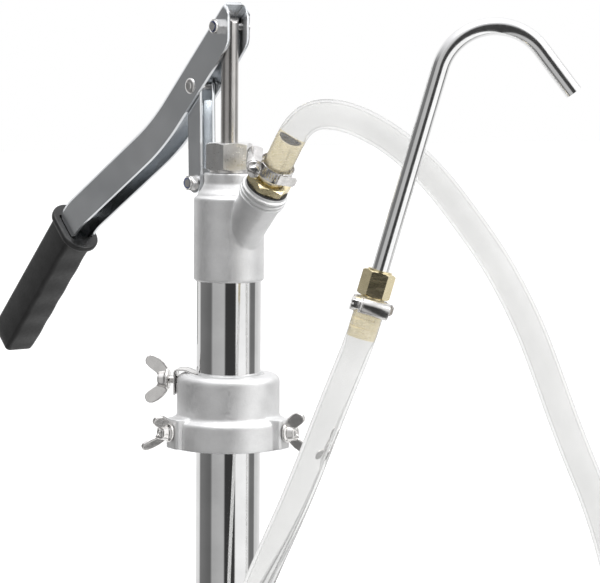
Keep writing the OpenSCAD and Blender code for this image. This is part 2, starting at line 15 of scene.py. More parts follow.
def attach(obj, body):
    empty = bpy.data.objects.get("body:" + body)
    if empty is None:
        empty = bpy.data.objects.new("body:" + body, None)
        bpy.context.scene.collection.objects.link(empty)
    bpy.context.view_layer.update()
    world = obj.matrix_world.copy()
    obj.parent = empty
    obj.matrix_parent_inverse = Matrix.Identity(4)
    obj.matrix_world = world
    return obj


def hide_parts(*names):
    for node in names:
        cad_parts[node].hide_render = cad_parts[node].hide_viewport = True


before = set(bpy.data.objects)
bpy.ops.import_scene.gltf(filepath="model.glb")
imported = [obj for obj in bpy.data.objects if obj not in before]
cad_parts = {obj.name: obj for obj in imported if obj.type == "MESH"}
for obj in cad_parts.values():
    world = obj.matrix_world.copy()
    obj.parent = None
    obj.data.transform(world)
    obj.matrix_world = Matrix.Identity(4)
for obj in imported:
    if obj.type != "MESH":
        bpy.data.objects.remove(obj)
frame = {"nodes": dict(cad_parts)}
log = logging.getLogger("gear_oil_pump")
MM = 0.001
SAME_POINT = 1e-6
SLIVER = 2e-5
ONE_PLANE = 0.6
SIDEWAYS = 0.999


# ---------------------------------------------------------------------------
# Workbench: small tools for shaping a mesh by hand
# ---------------------------------------------------------------------------


class Op(Enum):
    """What a boolean tool does to the piece."""

    CUT = "DIFFERENCE"
    ADD = "UNION"
    KEEP = "INTERSECT"


class Solver(Enum):
    """How a boolean is worked out."""

    CAREFUL = "EXACT"
    TOLERANT = "MANIFOLD"


def clear_selection() -> None:
    """Deselects everything and leaves no object active."""
    if bpy.context.object and bpy.context.object.mode != "OBJECT":
        bpy.ops.object.mode_set(mode="OBJECT")
    for obj in list(bpy.context.selected_objects):
        obj.select_set(False)
    bpy.context.view_layer.objects.active = None


def activate(obj: bpy.types.Object) -> None:
    """Makes obj the only selected object, and the active one."""
    clear_selection()
    obj.select_set(True)
    bpy.context.view_layer.objects.active = obj


def at(origin: tuple = (0, 0, 0), *turns: tuple) -> Matrix:
    """Builds a placement matrix.

    Args:
        origin: Place in millimetres.
        *turns: Pairs of axis letter and degrees, applied one in the other.

    Returns:
        The matrix in metres.
    """
    m = Matrix.Translation(Vector(origin) * MM)
    for axis, degrees in turns:
        m = m @ Matrix.Rotation(math.radians(degrees), 4, axis)
    return m


def place(obj: bpy.types.Object, matrix: Matrix) -> bpy.types.Object:
    """Puts obj at matrix and applies it, so that its place is in its mesh."""
    activate(obj)
    obj.matrix_world = matrix @ obj.matrix_world
    bpy.ops.object.transform_apply(location=True, rotation=True, scale=True)
    return obj


@contextmanager
def all_selected(obj: bpy.types.Object) -> Iterator[None]:
    """Opens a piece in edit mode, with its whole mesh selected."""
    activate(obj)
    bpy.ops.object.mode_set(mode="EDIT")
    bpy.ops.mesh.select_all(action="SELECT")
    yield
    bpy.ops.object.mode_set(mode="OBJECT")


def traced(name: str, points: list, fill: bool = False) -> bpy.types.Object:
    """Draws a line of edges by extruding one vertex from point to point.

    Args:
        name: Name of the new object.
        points: Points in millimetres, each with three numbers.
        fill: Closes the line and fills it with a face.

    Returns:
        The new object, left in object mode.
    """
    clear_selection()
    bpy.ops.mesh.primitive_plane_add(size=MM, location=(0, 0, 0))
    obj = bpy.context.object
    obj.name = name
    bpy.ops.object.mode_set(mode="EDIT")
    bpy.ops.mesh.select_all(action="SELECT")
    bpy.ops.mesh.merge(type="CENTER")
    bpy.ops.transform.translate(value=Vector(points[0]) * MM)
    for a, b in zip(points, points[1:]):
        step = (Vector(b) - Vector(a)) * MM
        bpy.ops.mesh.extrude_region_move(TRANSFORM_OT_translate={"value": step})
    if fill:
        bpy.ops.mesh.select_all(action="SELECT")
        bpy.ops.mesh.edge_face_add()
    bpy.ops.object.mode_set(mode="OBJECT")
    return obj


def outward(obj: bpy.types.Object) -> bpy.types.Object:
    """Merges doubles and turns every face outwards."""
    with all_selected(obj):
        bpy.ops.mesh.remove_doubles(threshold=SAME_POINT)
        bpy.ops.mesh.normals_make_consistent(inside=False)
    return obj


def turned(
    name: str, profile: list, steps: int = 64, matrix: Matrix = Matrix()
) -> bpy.types.Object:
    """Spins a profile round the local Z axis, as on a lathe.

    Args:
        name: Name of the new object.
        profile: Pairs of radius and height in millimetres. A closed ring
            profile repeats its first pair.
        steps: Facets round the axis.
        matrix: Where the finished piece goes.

    Returns:
        The closed piece.
    """
    obj = traced(name, [(r, 0, z) for r, z in profile])
    with all_selected(obj):
        bpy.ops.mesh.spin(
            steps=steps, angle=math.tau, center=(0, 0, 0), axis=(0, 0, 1), dupli=False
        )
    outward(obj)
    return place(obj, matrix)


def cut_out(
    name: str,
    outline: list,
    thickness: float,
    matrix: Matrix = Matrix(),
    centred: bool = False,
) -> bpy.types.Object:
    """Fills an outline in the local X-Y plane and gives it a thickness along Z."""
    low = -thickness / 2 if centred else 0.0
    obj = traced(name, [(x, y, low) for x, y in outline], fill=True)
    with all_selected(obj):
        bpy.ops.mesh.extrude_region_move(
            TRANSFORM_OT_translate={"value": (0, 0, thickness * MM)}
        )
    outward(obj)
    return place(obj, matrix)


def rod(
    name: str, radius: float, z0: float, z1: float, matrix: Matrix = Matrix(), sides: int = 48
) -> bpy.types.Object:
    """Adds a plain cylinder between two local heights, as stock to shape or cut with."""
    clear_selection()
    bpy.ops.mesh.primitive_cylinder_add(
        vertices=sides,
        radius=radius * MM,
        depth=(z1 - z0) * MM,
        location=(0, 0, (z0 + z1) / 2 * MM),
    )
    obj = bpy.context.object
    obj.name = name
    return place(obj, matrix)


def block(name: str, low: tuple, high: tuple, matrix: Matrix = Matrix()) -> bpy.types.Object:
    """Adds a box between two corners in millimetres, as stock to shape or cut with."""
    clear_selection()
    bpy.ops.mesh.primitive_cube_add(size=1, location=(0, 0, 0))
    obj = bpy.context.object
    obj.name = name
    obj.scale = [(b - a) * MM for a, b in zip(low, high)]
    obj.location = [(a + b) / 2 * MM for a, b in zip(low, high)]
    bpy.ops.object.transform_apply(location=True, rotation=True, scale=True)
    return place(obj, matrix)


def apply_modifier(obj: bpy.types.Object, kind: str, **settings) -> bpy.types.Object:
    """Adds one modifier with its settings and applies it."""
    activate(obj)
    mod = obj.modifiers.new(kind.title(), kind)
    for key, value in settings.items():
        setattr(mod, key, value)
    bpy.ops.object.modifier_apply(modifier=mod.name)
    return obj


def soften(
    obj: bpy.types.Object, width: float, segments: int = 3, angle: float = 30
) -> bpy.types.Object:
    """Rounds the sharp edges of a piece by width millimetres."""
    return apply_modifier(
        obj,
        "BEVEL",
        width=width * MM,
        segments=segments,
        limit_method="ANGLE",
        angle_limit=math.radians(angle),
        use_clamp_overlap=True,
    )


def combine(
    obj: bpy.types.Object,
    tool: bpy.types.Object,
    op: Op = Op.CUT,
    solver: Solver = Solver.CAREFUL,
) -> bpy.types.Object:
    """Cuts obj with tool, or adds tool to it, and throws the tool away."""
    apply_modifier(obj, "BOOLEAN", operation=op.value, object=tool, solver=solver.value)
    bpy.data.objects.remove(tool, do_unlink=True)
    return obj


def join(first: bpy.types.Object, *others: bpy.types.Object) -> bpy.types.Object:
    """Joins several shells into the first object."""
    activate(first)
    for other in others:
        other.select_set(True)
    bpy.ops.object.join()
    return first


def smooth(obj: bpy.types.Object, degrees: float = 35) -> bpy.types.Object:
    """Shades a piece smooth, with edges sharper than degrees kept."""
    activate(obj)
    bpy.ops.object.shade_smooth_by_angle(angle=math.radians(degrees))
    return obj


def clean_faces(obj: bpy.types.Object) -> bpy.types.Object:
    """Merges the slivers that cutting leaves, and joins faces that lie in one plane."""
    with all_selected(obj):
        bpy.ops.mesh.remove_doubles(threshold=SLIVER)
        bpy.ops.mesh.dissolve_degenerate(threshold=SLIVER / 2)
        bpy.ops.mesh.dissolve_limited(angle_limit=math.radians(ONE_PLANE))
    return obj


def even_shading(obj: bpy.types.Object) -> bpy.types.Object:
    """Shades a sheet's flat sides flat, beside its rounded edges."""
    for face in obj.data.polygons:
        if abs(face.normal.y) > SIDEWAYS:
            face.use_smooth = False
    return obj


def cast_skin(obj: bpy.types.Object, voxel: float, rounds: int) -> bpy.types.Object:
    """Gives a piece the soft corners and fillets of a casting."""
    apply_modifier(obj, "REMESH", mode="VOXEL", voxel_size=voxel * MM)
    return apply_modifier(obj, "SMOOTH", factor=0.5, iterations=rounds)


def dress(
    obj: bpy.types.Object,
    body: str,
    slot: str,
    material: bpy.types.Material,
    *nodes: str,
) -> bpy.types.Object:
    """Finishes a piece: its material, its body and the nodes it stands for."""
    obj.data.materials.clear()
    obj.data.materials.append(material)
    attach(obj, body)
    if nodes:
        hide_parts(*nodes)
    log.info("%s rides on %s", obj.name, body)
    return obj


def copy_of(obj: bpy.types.Object, name: str, matrix: Matrix) -> bpy.types.Object:
    """Copies a piece with its own mesh and puts the copy at matrix."""
    twin = obj.copy()
    twin.data = obj.data.copy()
    twin.name = name
    bpy.context.collection.objects.link(twin)
    return place(twin, matrix)


def round_edges(
    obj: bpy.types.Object,
    width: float,
    segments: int,
    test: Callable[[float, float, float], bool],
) -> bpy.types.Object:
    """Rounds the edges whose two ends both pass test(x, y, z), in millimetres."""
    activate(obj)
    bpy.ops.object.mode_set(mode="EDIT")
    bpy.ops.mesh.select_all(action="DESELECT")
    bpy.ops.mesh.select_mode(type="EDGE")
    bm = bmesh.from_edit_mesh(obj.data)
    for edge in bm.edges:
        edge.select = all(test(*(v.co / MM)) for v in edge.verts)
    bmesh.update_edit_mesh(obj.data)
    bpy.ops.mesh.bevel(offset=width * MM, segments=segments, affect="EDGES")
    bpy.ops.mesh.select_mode(type="VERT")
    bpy.ops.object.mode_set(mode="OBJECT")
    return obj


def arc(centre: tuple, radius: float, a0: float, a1: float, steps: int) -> list:
    """Points on an arc from angle a0 to a1 in degrees, both ends included."""
    return [
        (
            centre[0] + radius * math.cos(math.radians(a0 + (a1 - a0) * i / steps)),
            centre[1] + radius * math.sin(math.radians(a0 + (a1 - a0) * i / steps)),
        )
        for i in range(steps + 1)
    ]


def rounded_box(depth: float, width: float, corner: float, steps: int = 6) -> list:
    """Outline of a rectangle with rounded corners, centred on the origin."""
    x, y = depth / 2 - corner, width / 2 - corner
    return (
        arc((x, y), corner, 0, 90, steps)
        + arc((-x, y), corner, 90, 180, steps)
        + arc((-x, -y), corner, 180, 270, steps)
        + arc((x, -y), corner, 270, 360, steps)
    )


SIDE = at((0, 0, 0), ("X", 90))
OUTLET = at((41, 0, 186), ("Y", 37.8))
SPOUT_PLANE = at((100, -75, 0), ("Z", 53.13))
NOZZLE = SPOUT_PLANE @ at((98.5, 0, 139.3), ("Y", 15.87))
LINK = at((-32, 0, 188), ("Y", -1.2637))
GRIP = at((-194.7, 0, 148.4), ("Y", -135.6))


def radial(turn: float, z: float) -> Matrix:
    """Local Z runs out along a horizontal radius of the pump at height z."""
    return at((0, 0, z), ("Z", turn), ("Y", 90))


# ---------------------------------------------------------------------------
# Finishes
# ---------------------------------------------------------------------------


def tie(tree: bpy.types.NodeTree, *links: tuple) -> None:
    """Links nodes; each link is a node, its output, the next node and its input."""
    for source, output, target, socket in links:
        tree.links.new(source.outputs[output], target.inputs[socket])


def span(tree: bpy.types.NodeTree, low: float, high: float) -> bpy.types.Node:
    """Adds a node that maps values from low to high onto 0 to 1."""
    node = tree.nodes.new("ShaderNodeMapRange")
    node.inputs["From Min"].default_value = low
    node.inputs["From Max"].default_value = high
    return node


def blend(tree: bpy.types.NodeTree) -> bpy.types.Node:
    """Adds a node that mixes two colours."""
    node = tree.nodes.new("ShaderNodeMix")
    node.data_type = "RGBA"
    return node


class Draft:
    """A material being drawn up: its node tree, shader and shared links."""

    def __init__(self, name: str) -> None:
        """Starts a material with one Principled shader."""
        self.material = bpy.data.materials.new(name)
        self.material.use_nodes = True
        self.tree = self.material.node_tree
        self.shader = self.tree.nodes["Principled BSDF"]
        self.coords = self.tree.nodes.new("ShaderNodeTexCoord")

    def plain(self, **values) -> "Draft":
        """Sets shader sockets to plain values, underscores standing for spaces."""
        for key, value in values.items():
            self.shader.inputs[key.replace("_", " ")].default_value = value
        return self

    def effect(self, group: bpy.types.NodeTree, **values) -> bpy.types.Node:
        """Places a shared effect, reads Object coordinates and sets its inputs."""
        node = self.tree.nodes.new("ShaderNodeGroup")
        node.node_tree = group
        if "Vector" in node.inputs:
            self.tree.links.new(self.coords.outputs["Object"], node.inputs["Vector"])
        for key, value in values.items():
            node.inputs[key.replace("_", " ")].default_value = value
        return node

    def wire(self, source: bpy.types.NodeSocket, target: str) -> "Draft":
        """Links a node's output to a named socket of the shader."""
        self.tree.links.new(source, self.shader.inputs[target])
        return self


class Effects:
    """Shader node groups that several finishes share, each built once."""

    def __init__(self) -> None:
        """Builds every shared effect."""
        self.tint = self._cloudy_tint()
        self.relief = self._sand_relief()
        self.sheen = self._drawn_sheen()
        self.edges = self._painted_edge_highlight()

    @staticmethod
    def _new(name: str, inputs: list, outputs: list) -> tuple:
        """Starts a group.

        Args:
            name: Name of the group.
            inputs: Triples of socket name, kind and default value.
            outputs: Pairs of socket name and kind.

        Returns:
            The tree, its input node and its output node.
        """
        tree = bpy.data.node_groups.new(name, "ShaderNodeTree")
        for label, kind, value in inputs:
            socket = tree.interface.new_socket(
                label, in_out="INPUT", socket_type=f"NodeSocket{kind}"
            )
            if value is not None:
                socket.default_value = value
        for label, kind in outputs:
            tree.interface.new_socket(
                label, in_out="OUTPUT", socket_type=f"NodeSocket{kind}"
            )
        return tree, tree.nodes.new("NodeGroupInput"), tree.nodes.new("NodeGroupOutput")

    @staticmethod
    def _noise(tree: bpy.types.NodeTree, source, detail: float) -> bpy.types.Node:
        """Adds a noise that reads the group's Vector and Scale."""
        node = tree.nodes.new("ShaderNodeTexNoise")
        node.inputs["Detail"].default_value = detail
        tie(tree,
            (source, "Vector", node, "Vector"), (source, "Scale", node, "Scale"))
        return node

    def _cloudy_tint(self) -> bpy.types.NodeTree:
        """Soft patches between two tints, as handling and casting leave them."""
        tree, src, out = self._new(
            "cloudy_tint",
            [
                ("Vector", "Vector", None),
                ("Scale", "Float", 60.0),
                ("Dark", "Color", (0.5, 0.5, 0.5, 1)),
                ("Light", "Color", (0.8, 0.8, 0.8, 1)),
            ],
            [("Color", "Color"), ("Mask", "Float")],
        )
        noise = self._noise(tree, src, 5.0)
        band = span(tree, 0.32, 0.68)
        mix = blend(tree)
        tie(tree,
            (noise, "Fac", band, "Value"), (band, "Result", mix, "Factor"),
            (src, "Dark", mix, "A"), (src, "Light", mix, "B"), (mix, "Result", out, "Color"),
            (band, "Result", out, "Mask"))
        return tree

    def _sand_relief(self) -> bpy.types.NodeTree:
        """The fine pitted skin of a sand or die casting, or of moulded plastic."""
        tree, src, out = self._new(
            "sand_relief",
            [
                ("Vector", "Vector", None),
                ("Scale", "Float", 900.0),
                ("Strength", "Float", 0.3),
                ("Depth", "Float", 0.0002),
            ],
            [("Normal", "Vector")],
        )
        noise = self._noise(tree, src, 3.0)
        bump = tree.nodes.new("ShaderNodeBump")
        tie(tree,
            (noise, "Fac", bump, "Height"), (src, "Strength", bump, "Strength"),
            (src, "Depth", bump, "Distance"), (bump, "Normal", out, "Normal"))
        return tree

    def _drawn_sheen(self) -> bpy.types.NodeTree:
        """Fine lines left by rolling, drawing or turning, as roughness and relief."""
        tree, src, out = self._new(
            "drawn_sheen",
            [
                ("Vector", "Vector", None),
                ("Stretch", "Vector", (1, 1, 1)),
                ("Scale", "Float", 400.0),
                ("Smoothest", "Float", 0.15),
                ("Roughest", "Float", 0.3),
                ("Strength", "Float", 0.1),
            ],
            [("Roughness", "Float"), ("Normal", "Vector")],
        )
        mapping = tree.nodes.new("ShaderNodeMapping")
        noise = tree.nodes.new("ShaderNodeTexNoise")
        noise.inputs["Detail"].default_value = 3.0
        band = span(tree, 0.3, 0.7)
        bump = tree.nodes.new("ShaderNodeBump")
        bump.inputs["Distance"].default_value = 0.0001
        tie(tree,
            (src, "Vector", mapping, "Vector"), (src, "Stretch", mapping, "Scale"),
            (mapping, "Vector", noise, "Vector"), (src, "Scale", noise, "Scale"),
            (noise, "Fac", band, "Value"), (src, "Smoothest", band, "To Min"),
            (src, "Roughest", band, "To Max"), (noise, "Fac", bump, "Height"),
            (src, "Strength", bump, "Strength"), (band, "Result", out, "Roughness"),
            (bump, "Normal", out, "Normal"))
        return tree

    def _painted_edge_highlight(self) -> bpy.types.NodeTree:
        """Corners painted brighter than the faces between them: a painted highlight on the rims.
        """
        tree, src, out = self._new(
            "painted_edge_highlight",
            [
                ("Base", "Color", (0.7, 0.7, 0.7, 1)),
                ("Polished", "Color", (0.95, 0.95, 0.95, 1)),
                ("Amount", "Float", 0.5),
            ],
            [("Color", "Color"), ("Mask", "Float")],
        )
        # Painted highlight: pointy corners get the lighter colour, standing in for light caught by
        # the rims.
        geometry = tree.nodes.new("ShaderNodeNewGeometry")
        band = span(tree, 0.51, 0.6)
        mix = blend(tree)
        tie(tree,
            (geometry, "Pointiness", band, "Value"), (src, "Amount", band, "To Max"),
            (band, "Result", mix, "Factor"), (src, "Base", mix, "A"),
            (src, "Polished", mix, "B"), (mix, "Result", out, "Color"),
            (band, "Result", out, "Mask"))
        return tree


@dataclass(frozen=True)
class CastMetal:
    """Cast metal with a pitted skin, cloudy tint and corners painted brighter as a painted rim
    highlight.
    """

    name: str
    dark: tuple
    light: tuple
    roughness: float = 0.42
    grain: float = 900.0
    relief: float = 0.35
    cloud: float = 55.0

    def make(self, fx: Effects) -> bpy.types.Material:
        """Builds the material."""
        draft = Draft(self.name).plain(Metallic=1.0)
        tint = draft.effect(fx.tint, Scale=self.cloud, Dark=self.dark, Light=self.light)
        # Painted highlight: the tint is lightened on the corners.
        edge = draft.effect(fx.edges, Amount=0.55, Polished=(0.93, 0.94, 0.94, 1))
        draft.tree.links.new(tint.outputs["Color"], edge.inputs["Base"])
        draft.wire(edge.outputs["Color"], "Base Color")
        sheen = draft.effect(
            fx.sheen,
            Scale=self.grain * 0.6,
            Smoothest=self.roughness - 0.08,
            Roughest=self.roughness + 0.1,
            Strength=0.0,
        )
        draft.wire(sheen.outputs["Roughness"], "Roughness")
        skin = draft.effect(fx.relief, Scale=self.grain, Strength=self.relief)
        draft.wire(skin.outputs["Normal"], "Normal")
        return draft.material


@dataclass(frozen=True)
class DrawnMetal:
    """Plated, rolled or turned metal with fine lines in one direction."""

    name: str
    dark: tuple
    light: tuple
    smoothest: float
    roughest: float
    stretch: tuple = (1.0, 1.0, 1.0)
    lines: float = 400.0
    relief: float = 0.08
    cloud: float = 40.0
    anisotropy: float = 0.0

    def make(self, fx: Effects) -> bpy.types.Material:
        """Builds the material."""
        draft = Draft(self.name).plain(Metallic=1.0, Anisotropic=self.anisotropy)
        tint = draft.effect(fx.tint, Scale=self.cloud, Dark=self.dark, Light=self.light)
        draft.wire(tint.outputs["Color"], "Base Color")
        sheen = draft.effect(
            fx.sheen,
            Stretch=self.stretch,
            Scale=self.lines,
            Smoothest=self.smoothest,
            Roughest=self.roughest,
            Strength=self.relief,
        )
        draft.wire(sheen.outputs["Roughness"], "Roughness")
        draft.wire(sheen.outputs["Normal"], "Normal")
        return draft.material


@dataclass(frozen=True)
class MouldedPart:
    """Plastic, rubber, leather or cord with a grained skin."""

    name: str
    dark: tuple
    light: tuple
    roughness: float
    grain: float = 1500.0
    relief: float = 0.15
    cloud: float = 90.0

    def make(self, fx: Effects) -> bpy.types.Material:
        """Builds the material."""
        draft = Draft(self.name).plain(Metallic=0.0)
        tint = draft.effect(fx.tint, Scale=self.cloud, Dark=self.dark, Light=self.light)
        draft.wire(tint.outputs["Color"], "Base Color")
        sheen = draft.effect(
            fx.sheen,
            Scale=self.grain * 0.3,
            Smoothest=self.roughness - 0.06,
            Roughest=self.roughness + 0.08,
            Strength=0.0,
        )
        draft.wire(sheen.outputs["Roughness"], "Roughness")
        skin = draft.effect(fx.relief, Scale=self.grain, Strength=self.relief)
        draft.wire(skin.outputs["Normal"], "Normal")
        return draft.material


@dataclass(frozen=True)
class ClearHose:
    """Soft clear PVC, slightly milky, with a faint orange-peel skin and painted shade on its
    edge-on walls.
    """

    name: str
    tint_dark: tuple
    tint_light: tuple
    # Painted shade: the darker grey that the walls take where they are seen edge-on.
    rim: tuple = (0.5, 0.5, 0.495, 1)
    transmission: float = 0.88
    ior: float = 1.09

    def make(self, fx: Effects) -> bpy.types.Material:
        """Builds the material."""
        draft = Draft(self.name).plain(
            Metallic=0.0, Transmission_Weight=self.transmission, IOR=self.ior
        )
        tint = draft.effect(
            fx.tint, Scale=30.0, Dark=self.tint_dark, Light=self.tint_light
        )
        # Painted shade: the base colour turns to the rim grey as the surface turns edge-on to the
        # view.
        facing = draft.tree.nodes.new("ShaderNodeLayerWeight")
        facing.inputs["Blend"].default_value = 0.5
        band = span(draft.tree, 0.55, 1.0)
        mix = blend(draft.tree)
        mix.inputs["B"].default_value = self.rim
        tie(draft.tree,
            (facing, "Facing", band, "Value"), (band, "Result", mix, "Factor"),
            (tint, "Color", mix, "A"))
        draft.wire(mix.outputs["Result"], "Base Color")
        sheen = draft.effect(
            fx.sheen, Scale=200.0, Smoothest=0.03, Roughest=0.07, Strength=0.02
        )
        draft.wire(sheen.outputs["Roughness"], "Roughness")
        draft.wire(sheen.outputs["Normal"], "Normal")
        return draft.material


def grey(value: float, warm: float = 0.0) -> tuple:
    """A grey tint as RGBA; warm above 0 leans to yellow, below 0 to blue."""
    return (value * (1 + warm), value, value * (1 - warm), 1.0)


class Finishes:
    """Every finish of the pump, built once and kept by name."""

    def __init__(self) -> None:
        """Builds the shared effects and then the materials."""
        fx = Effects()
        self.cast = CastMetal("cast_aluminium", grey(0.80), grey(0.92), 0.56).make(fx)
        self.tube = DrawnMetal(
            "bright_tube", grey(0.70), grey(0.80), 0.04, 0.09,
            (1, 1, 0.02), 500, 0.02,
        ).make(fx)
        self.rod = DrawnMetal(
            "ground_rod", grey(0.42, 0.03), grey(0.58, 0.03), 0.22, 0.36,
            (1, 1, 0.02), 900, 0.12,
        ).make(fx)
        self.spout = DrawnMetal(
            "plated_spout", grey(0.84), grey(0.93), 0.12, 0.2, (1, 1, 1), 300, 0.05
        ).make(fx)
        self.sheet = DrawnMetal(
            "zinc_sheet", grey(0.78, -0.03), grey(0.90, -0.02), 0.18, 0.27,
            (0.15, 1, 0.15), 350, 0.01, 18,
        ).make(fx)
        self.zinc = DrawnMetal(
            "zinc_hardware", grey(0.72, 0.01), grey(0.88, 0.02), 0.14, 0.28,
            (1, 1, 1), 500, 0.1, 120,
        ).make(fx)
        self.wing = DrawnMetal(
            "wing_zinc", grey(0.80, 0.02), grey(0.92, 0.02), 0.12, 0.24,
            (1, 1, 1), 400, 0.12, 120,
        ).make(fx)
        self.gland = CastMetal(
            "gland_steel", grey(0.62, 0.02), grey(0.82, 0.02), 0.33, 1300, 0.3, 120
        ).make(fx)
        self.clamp = DrawnMetal(
            "clamp_strip", grey(0.60, 0.02), grey(0.80, 0.02), 0.14, 0.25,
            (1, 1, 1), 500, 0.08, 100,
        ).make(fx)
        self.brass = DrawnMetal(
            "machined_brass", (0.84, 0.73, 0.45, 1), (0.92, 0.81, 0.54, 1), 0.2, 0.3,
            (0.2, 0.2, 1), 600, 0.04, 60,
        ).make(fx)
        self.rubber = MouldedPart(
            "nitrile_rubber", grey(0.02), grey(0.04), 0.6
        ).make(fx)
        self.cord = MouldedPart(
            "braided_packing", grey(0.07, 0.05), grey(0.18, 0.05), 0.8, 700, 0.8
        ).make(fx)
        self.leather = MouldedPart(
            "oiled_leather", (0.12, 0.06, 0.03, 1), (0.3, 0.17, 0.09, 1), 0.55, 900, 0.5
        ).make(fx)
        self.grip = MouldedPart(
            "black_grip", grey(0.007), grey(0.014), 0.4, 1400, 0.12
        ).make(fx)
        self.nylon = MouldedPart(
            "blue_nylon", (0.03, 0.05, 0.16, 1), (0.05, 0.08, 0.24, 1), 0.35
        ).make(fx)
        self.hose = ClearHose(
            "clear_hose", (0.90, 0.90, 0.895, 1), (0.94, 0.94, 0.935, 1)
        ).make(fx)


# ---------------------------------------------------------------------------
# Studio
# ---------------------------------------------------------------------------


@dataclass
class Studio:
    """Camera, soft light, pale floor and the surroundings that metal mirrors."""

    eye: tuple = (1.35474, -1.00707, 0.27005)
    yaw: float = 38.313
    pitch: float = 5.293
    roll: float = 0.409
    lens: float = 145.71
    floor_z: float = -0.625

    def camera(self) -> None:
        """Adds the camera."""
        yaw, pitch = math.radians(self.yaw), math.radians(self.pitch)
        forward = Vector(
            (-math.cos(yaw) * math.cos(pitch), math.sin(yaw) * math.cos(pitch), -math.sin(pitch))
        )
        right = forward.cross(Vector((0, 0, 1))).normalized()
        up = right.cross(forward)
        roll = math.radians(self.roll)
        x = right * math.cos(roll) + up * math.sin(roll)
        y = up * math.cos(roll) - right * math.sin(roll)
        data = bpy.data.cameras.new("camera")
        data.lens, data.sensor_width, data.sensor_fit = self.lens, 36, "HORIZONTAL"
        data.clip_start, data.clip_end = 0.05, 60
        cam = bpy.data.objects.new("camera", data)
        bpy.context.collection.objects.link(cam)
        turn = Matrix((x, y, -forward)).transposed().to_4x4()
        cam.matrix_world = Matrix.Translation(Vector(self.eye)) @ turn
        bpy.context.scene.camera = cam

    def surroundings(self) -> None:
        """Builds the room: pale to look at, with darker bands for metal to mirror."""
        world = bpy.data.worlds.new("studio_room")
        bpy.context.scene.world = world
        world.use_nodes = True
        tree = world.node_tree
        tree.nodes.clear()
        node, link = tree.nodes.new, tree.links.new
        out = node("ShaderNodeOutputWorld")
        coords = node("ShaderNodeTexCoord")
        turn = node("ShaderNodeMapping")
        turn.vector_type = "POINT"
        turn.inputs["Rotation"].default_value = (0, 0, math.radians(36.7))
        split = node("ShaderNodeSeparateXYZ")
        link(coords.outputs["Generated"], turn.inputs["Vector"])
        link(turn.outputs["Vector"], split.inputs["Vector"])
        angle = node("ShaderNodeMath")
        angle.operation = "ARCTAN2"
        link(split.outputs["Y"], angle.inputs[0])
        link(split.outputs["X"], angle.inputs[1])
        share = span(tree, -math.pi, math.pi)
        link(angle.outputs["Value"], share.inputs["Value"])
        bands = node("ShaderNodeValToRGB")
        ramp = bands.color_ramp
        ramp.interpolation = "EASE"
        stops = self.bands()
        ramp.elements[0].position, ramp.elements[0].color = stops[0][0], (*[stops[0][1]] * 3, 1)
        ramp.elements[1].position, ramp.elements[1].color = stops[-1][0], (*[stops[-1][1]] * 3, 1)
        for position, value in stops[1:-1]:
            ramp.elements.new(position).color = (value, value, value, 1)
        link(share.outputs["Result"], bands.inputs["Fac"])
        height = span(tree, 0.35, 0.8)
        link(split.outputs["Z"], height.inputs["Value"])
        ceiling = blend(tree)
        ceiling.inputs["B"].default_value = (1.15, 1.15, 1.17, 1)
        link(height.outputs["Result"], ceiling.inputs["Factor"])
        link(bands.outputs["Color"], ceiling.inputs["A"])
        mirrored = node("ShaderNodeBackground")
        mirrored.inputs["Strength"].default_value = 1.0
        link(ceiling.outputs["Result"], mirrored.inputs["Color"])
        seen = node("ShaderNodeBackground")
        seen.inputs["Color"].default_value = (1, 1, 1, 1)
        seen.inputs["Strength"].default_value = 1.0
        ray = node("ShaderNodeLightPath")
        direct = node("ShaderNodeMath")
        direct.operation = "MAXIMUM"
        link(ray.outputs["Is Camera Ray"], direct.inputs[0])
        link(ray.outputs["Is Transmission Ray"], direct.inputs[1])
        mix = node("ShaderNodeMixShader")
        link(direct.outputs["Value"], mix.inputs["Fac"])
        link(mirrored.outputs["Background"], mix.inputs[1])
        link(seen.outputs["Background"], mix.inputs[2])
        link(mix.outputs["Shader"], out.inputs["Surface"])

    @staticmethod
    def bands() -> list:
        """Brightness round the room.

        Returns:
            Pairs of share of the turn and brightness. Half a turn is the
            direction of the camera, and larger shares lie to its right.
        """
        degrees = [
            (-180, 0.95), (-128, 0.9), (-116, 0.22), (-66, 0.16), (-57, 0.5),
            (-16, 0.55), (-10, 0.05), (24, 0.05), (28, 1.1), (82, 1.15),
            (88, 0.2), (106, 0.2), (112, 0.75), (150, 0.9), (180, 0.95),
        ]
        return [((d + 180) / 360, v) for d, v in degrees]

    def floor(self) -> None:
        """Adds the pale floor, far larger than the view."""
        clear_selection()
        bpy.ops.mesh.primitive_plane_add(size=40, location=(0, 0, self.floor_z))
        floor = bpy.context.object
        floor.name = "studio_floor"
        draft = Draft("pale_floor").plain(
            Base_Color=(0.9, 0.9, 0.9, 1), Roughness=0.9,
            Emission_Color=(1, 1, 1, 1), Emission_Strength=0.35,
        )
        through = draft.tree.nodes.new("ShaderNodeBsdfTransparent")
        ray = draft.tree.nodes.new("ShaderNodeLightPath")
        mix = draft.tree.nodes.new("ShaderNodeMixShader")
        out = draft.tree.nodes["Material Output"]
        draft.tree.links.new(ray.outputs["Is Glossy Ray"], mix.inputs["Fac"])
        draft.tree.links.new(draft.shader.outputs["BSDF"], mix.inputs[1])
        tie(draft.tree,
            (through, "BSDF", mix, 2), (mix, "Shader", out, "Surface"))
        floor.data.materials.append(draft.material)

    def lamp(self, name: str, place_m: tuple, target: tuple, size: float, power: float) -> None:
        """Adds a soft square lamp that faces a target."""
        data = bpy.data.lights.new(name, "AREA")
        data.shape, data.size, data.energy = "SQUARE", size, power
        obj = bpy.data.objects.new(name, data)
        bpy.context.collection.objects.link(obj)
        obj.location = place_m
        obj.rotation_mode = "QUATERNION"
        obj.rotation_quaternion = (Vector(target) - Vector(place_m)).to_track_quat("-Z", "Y")

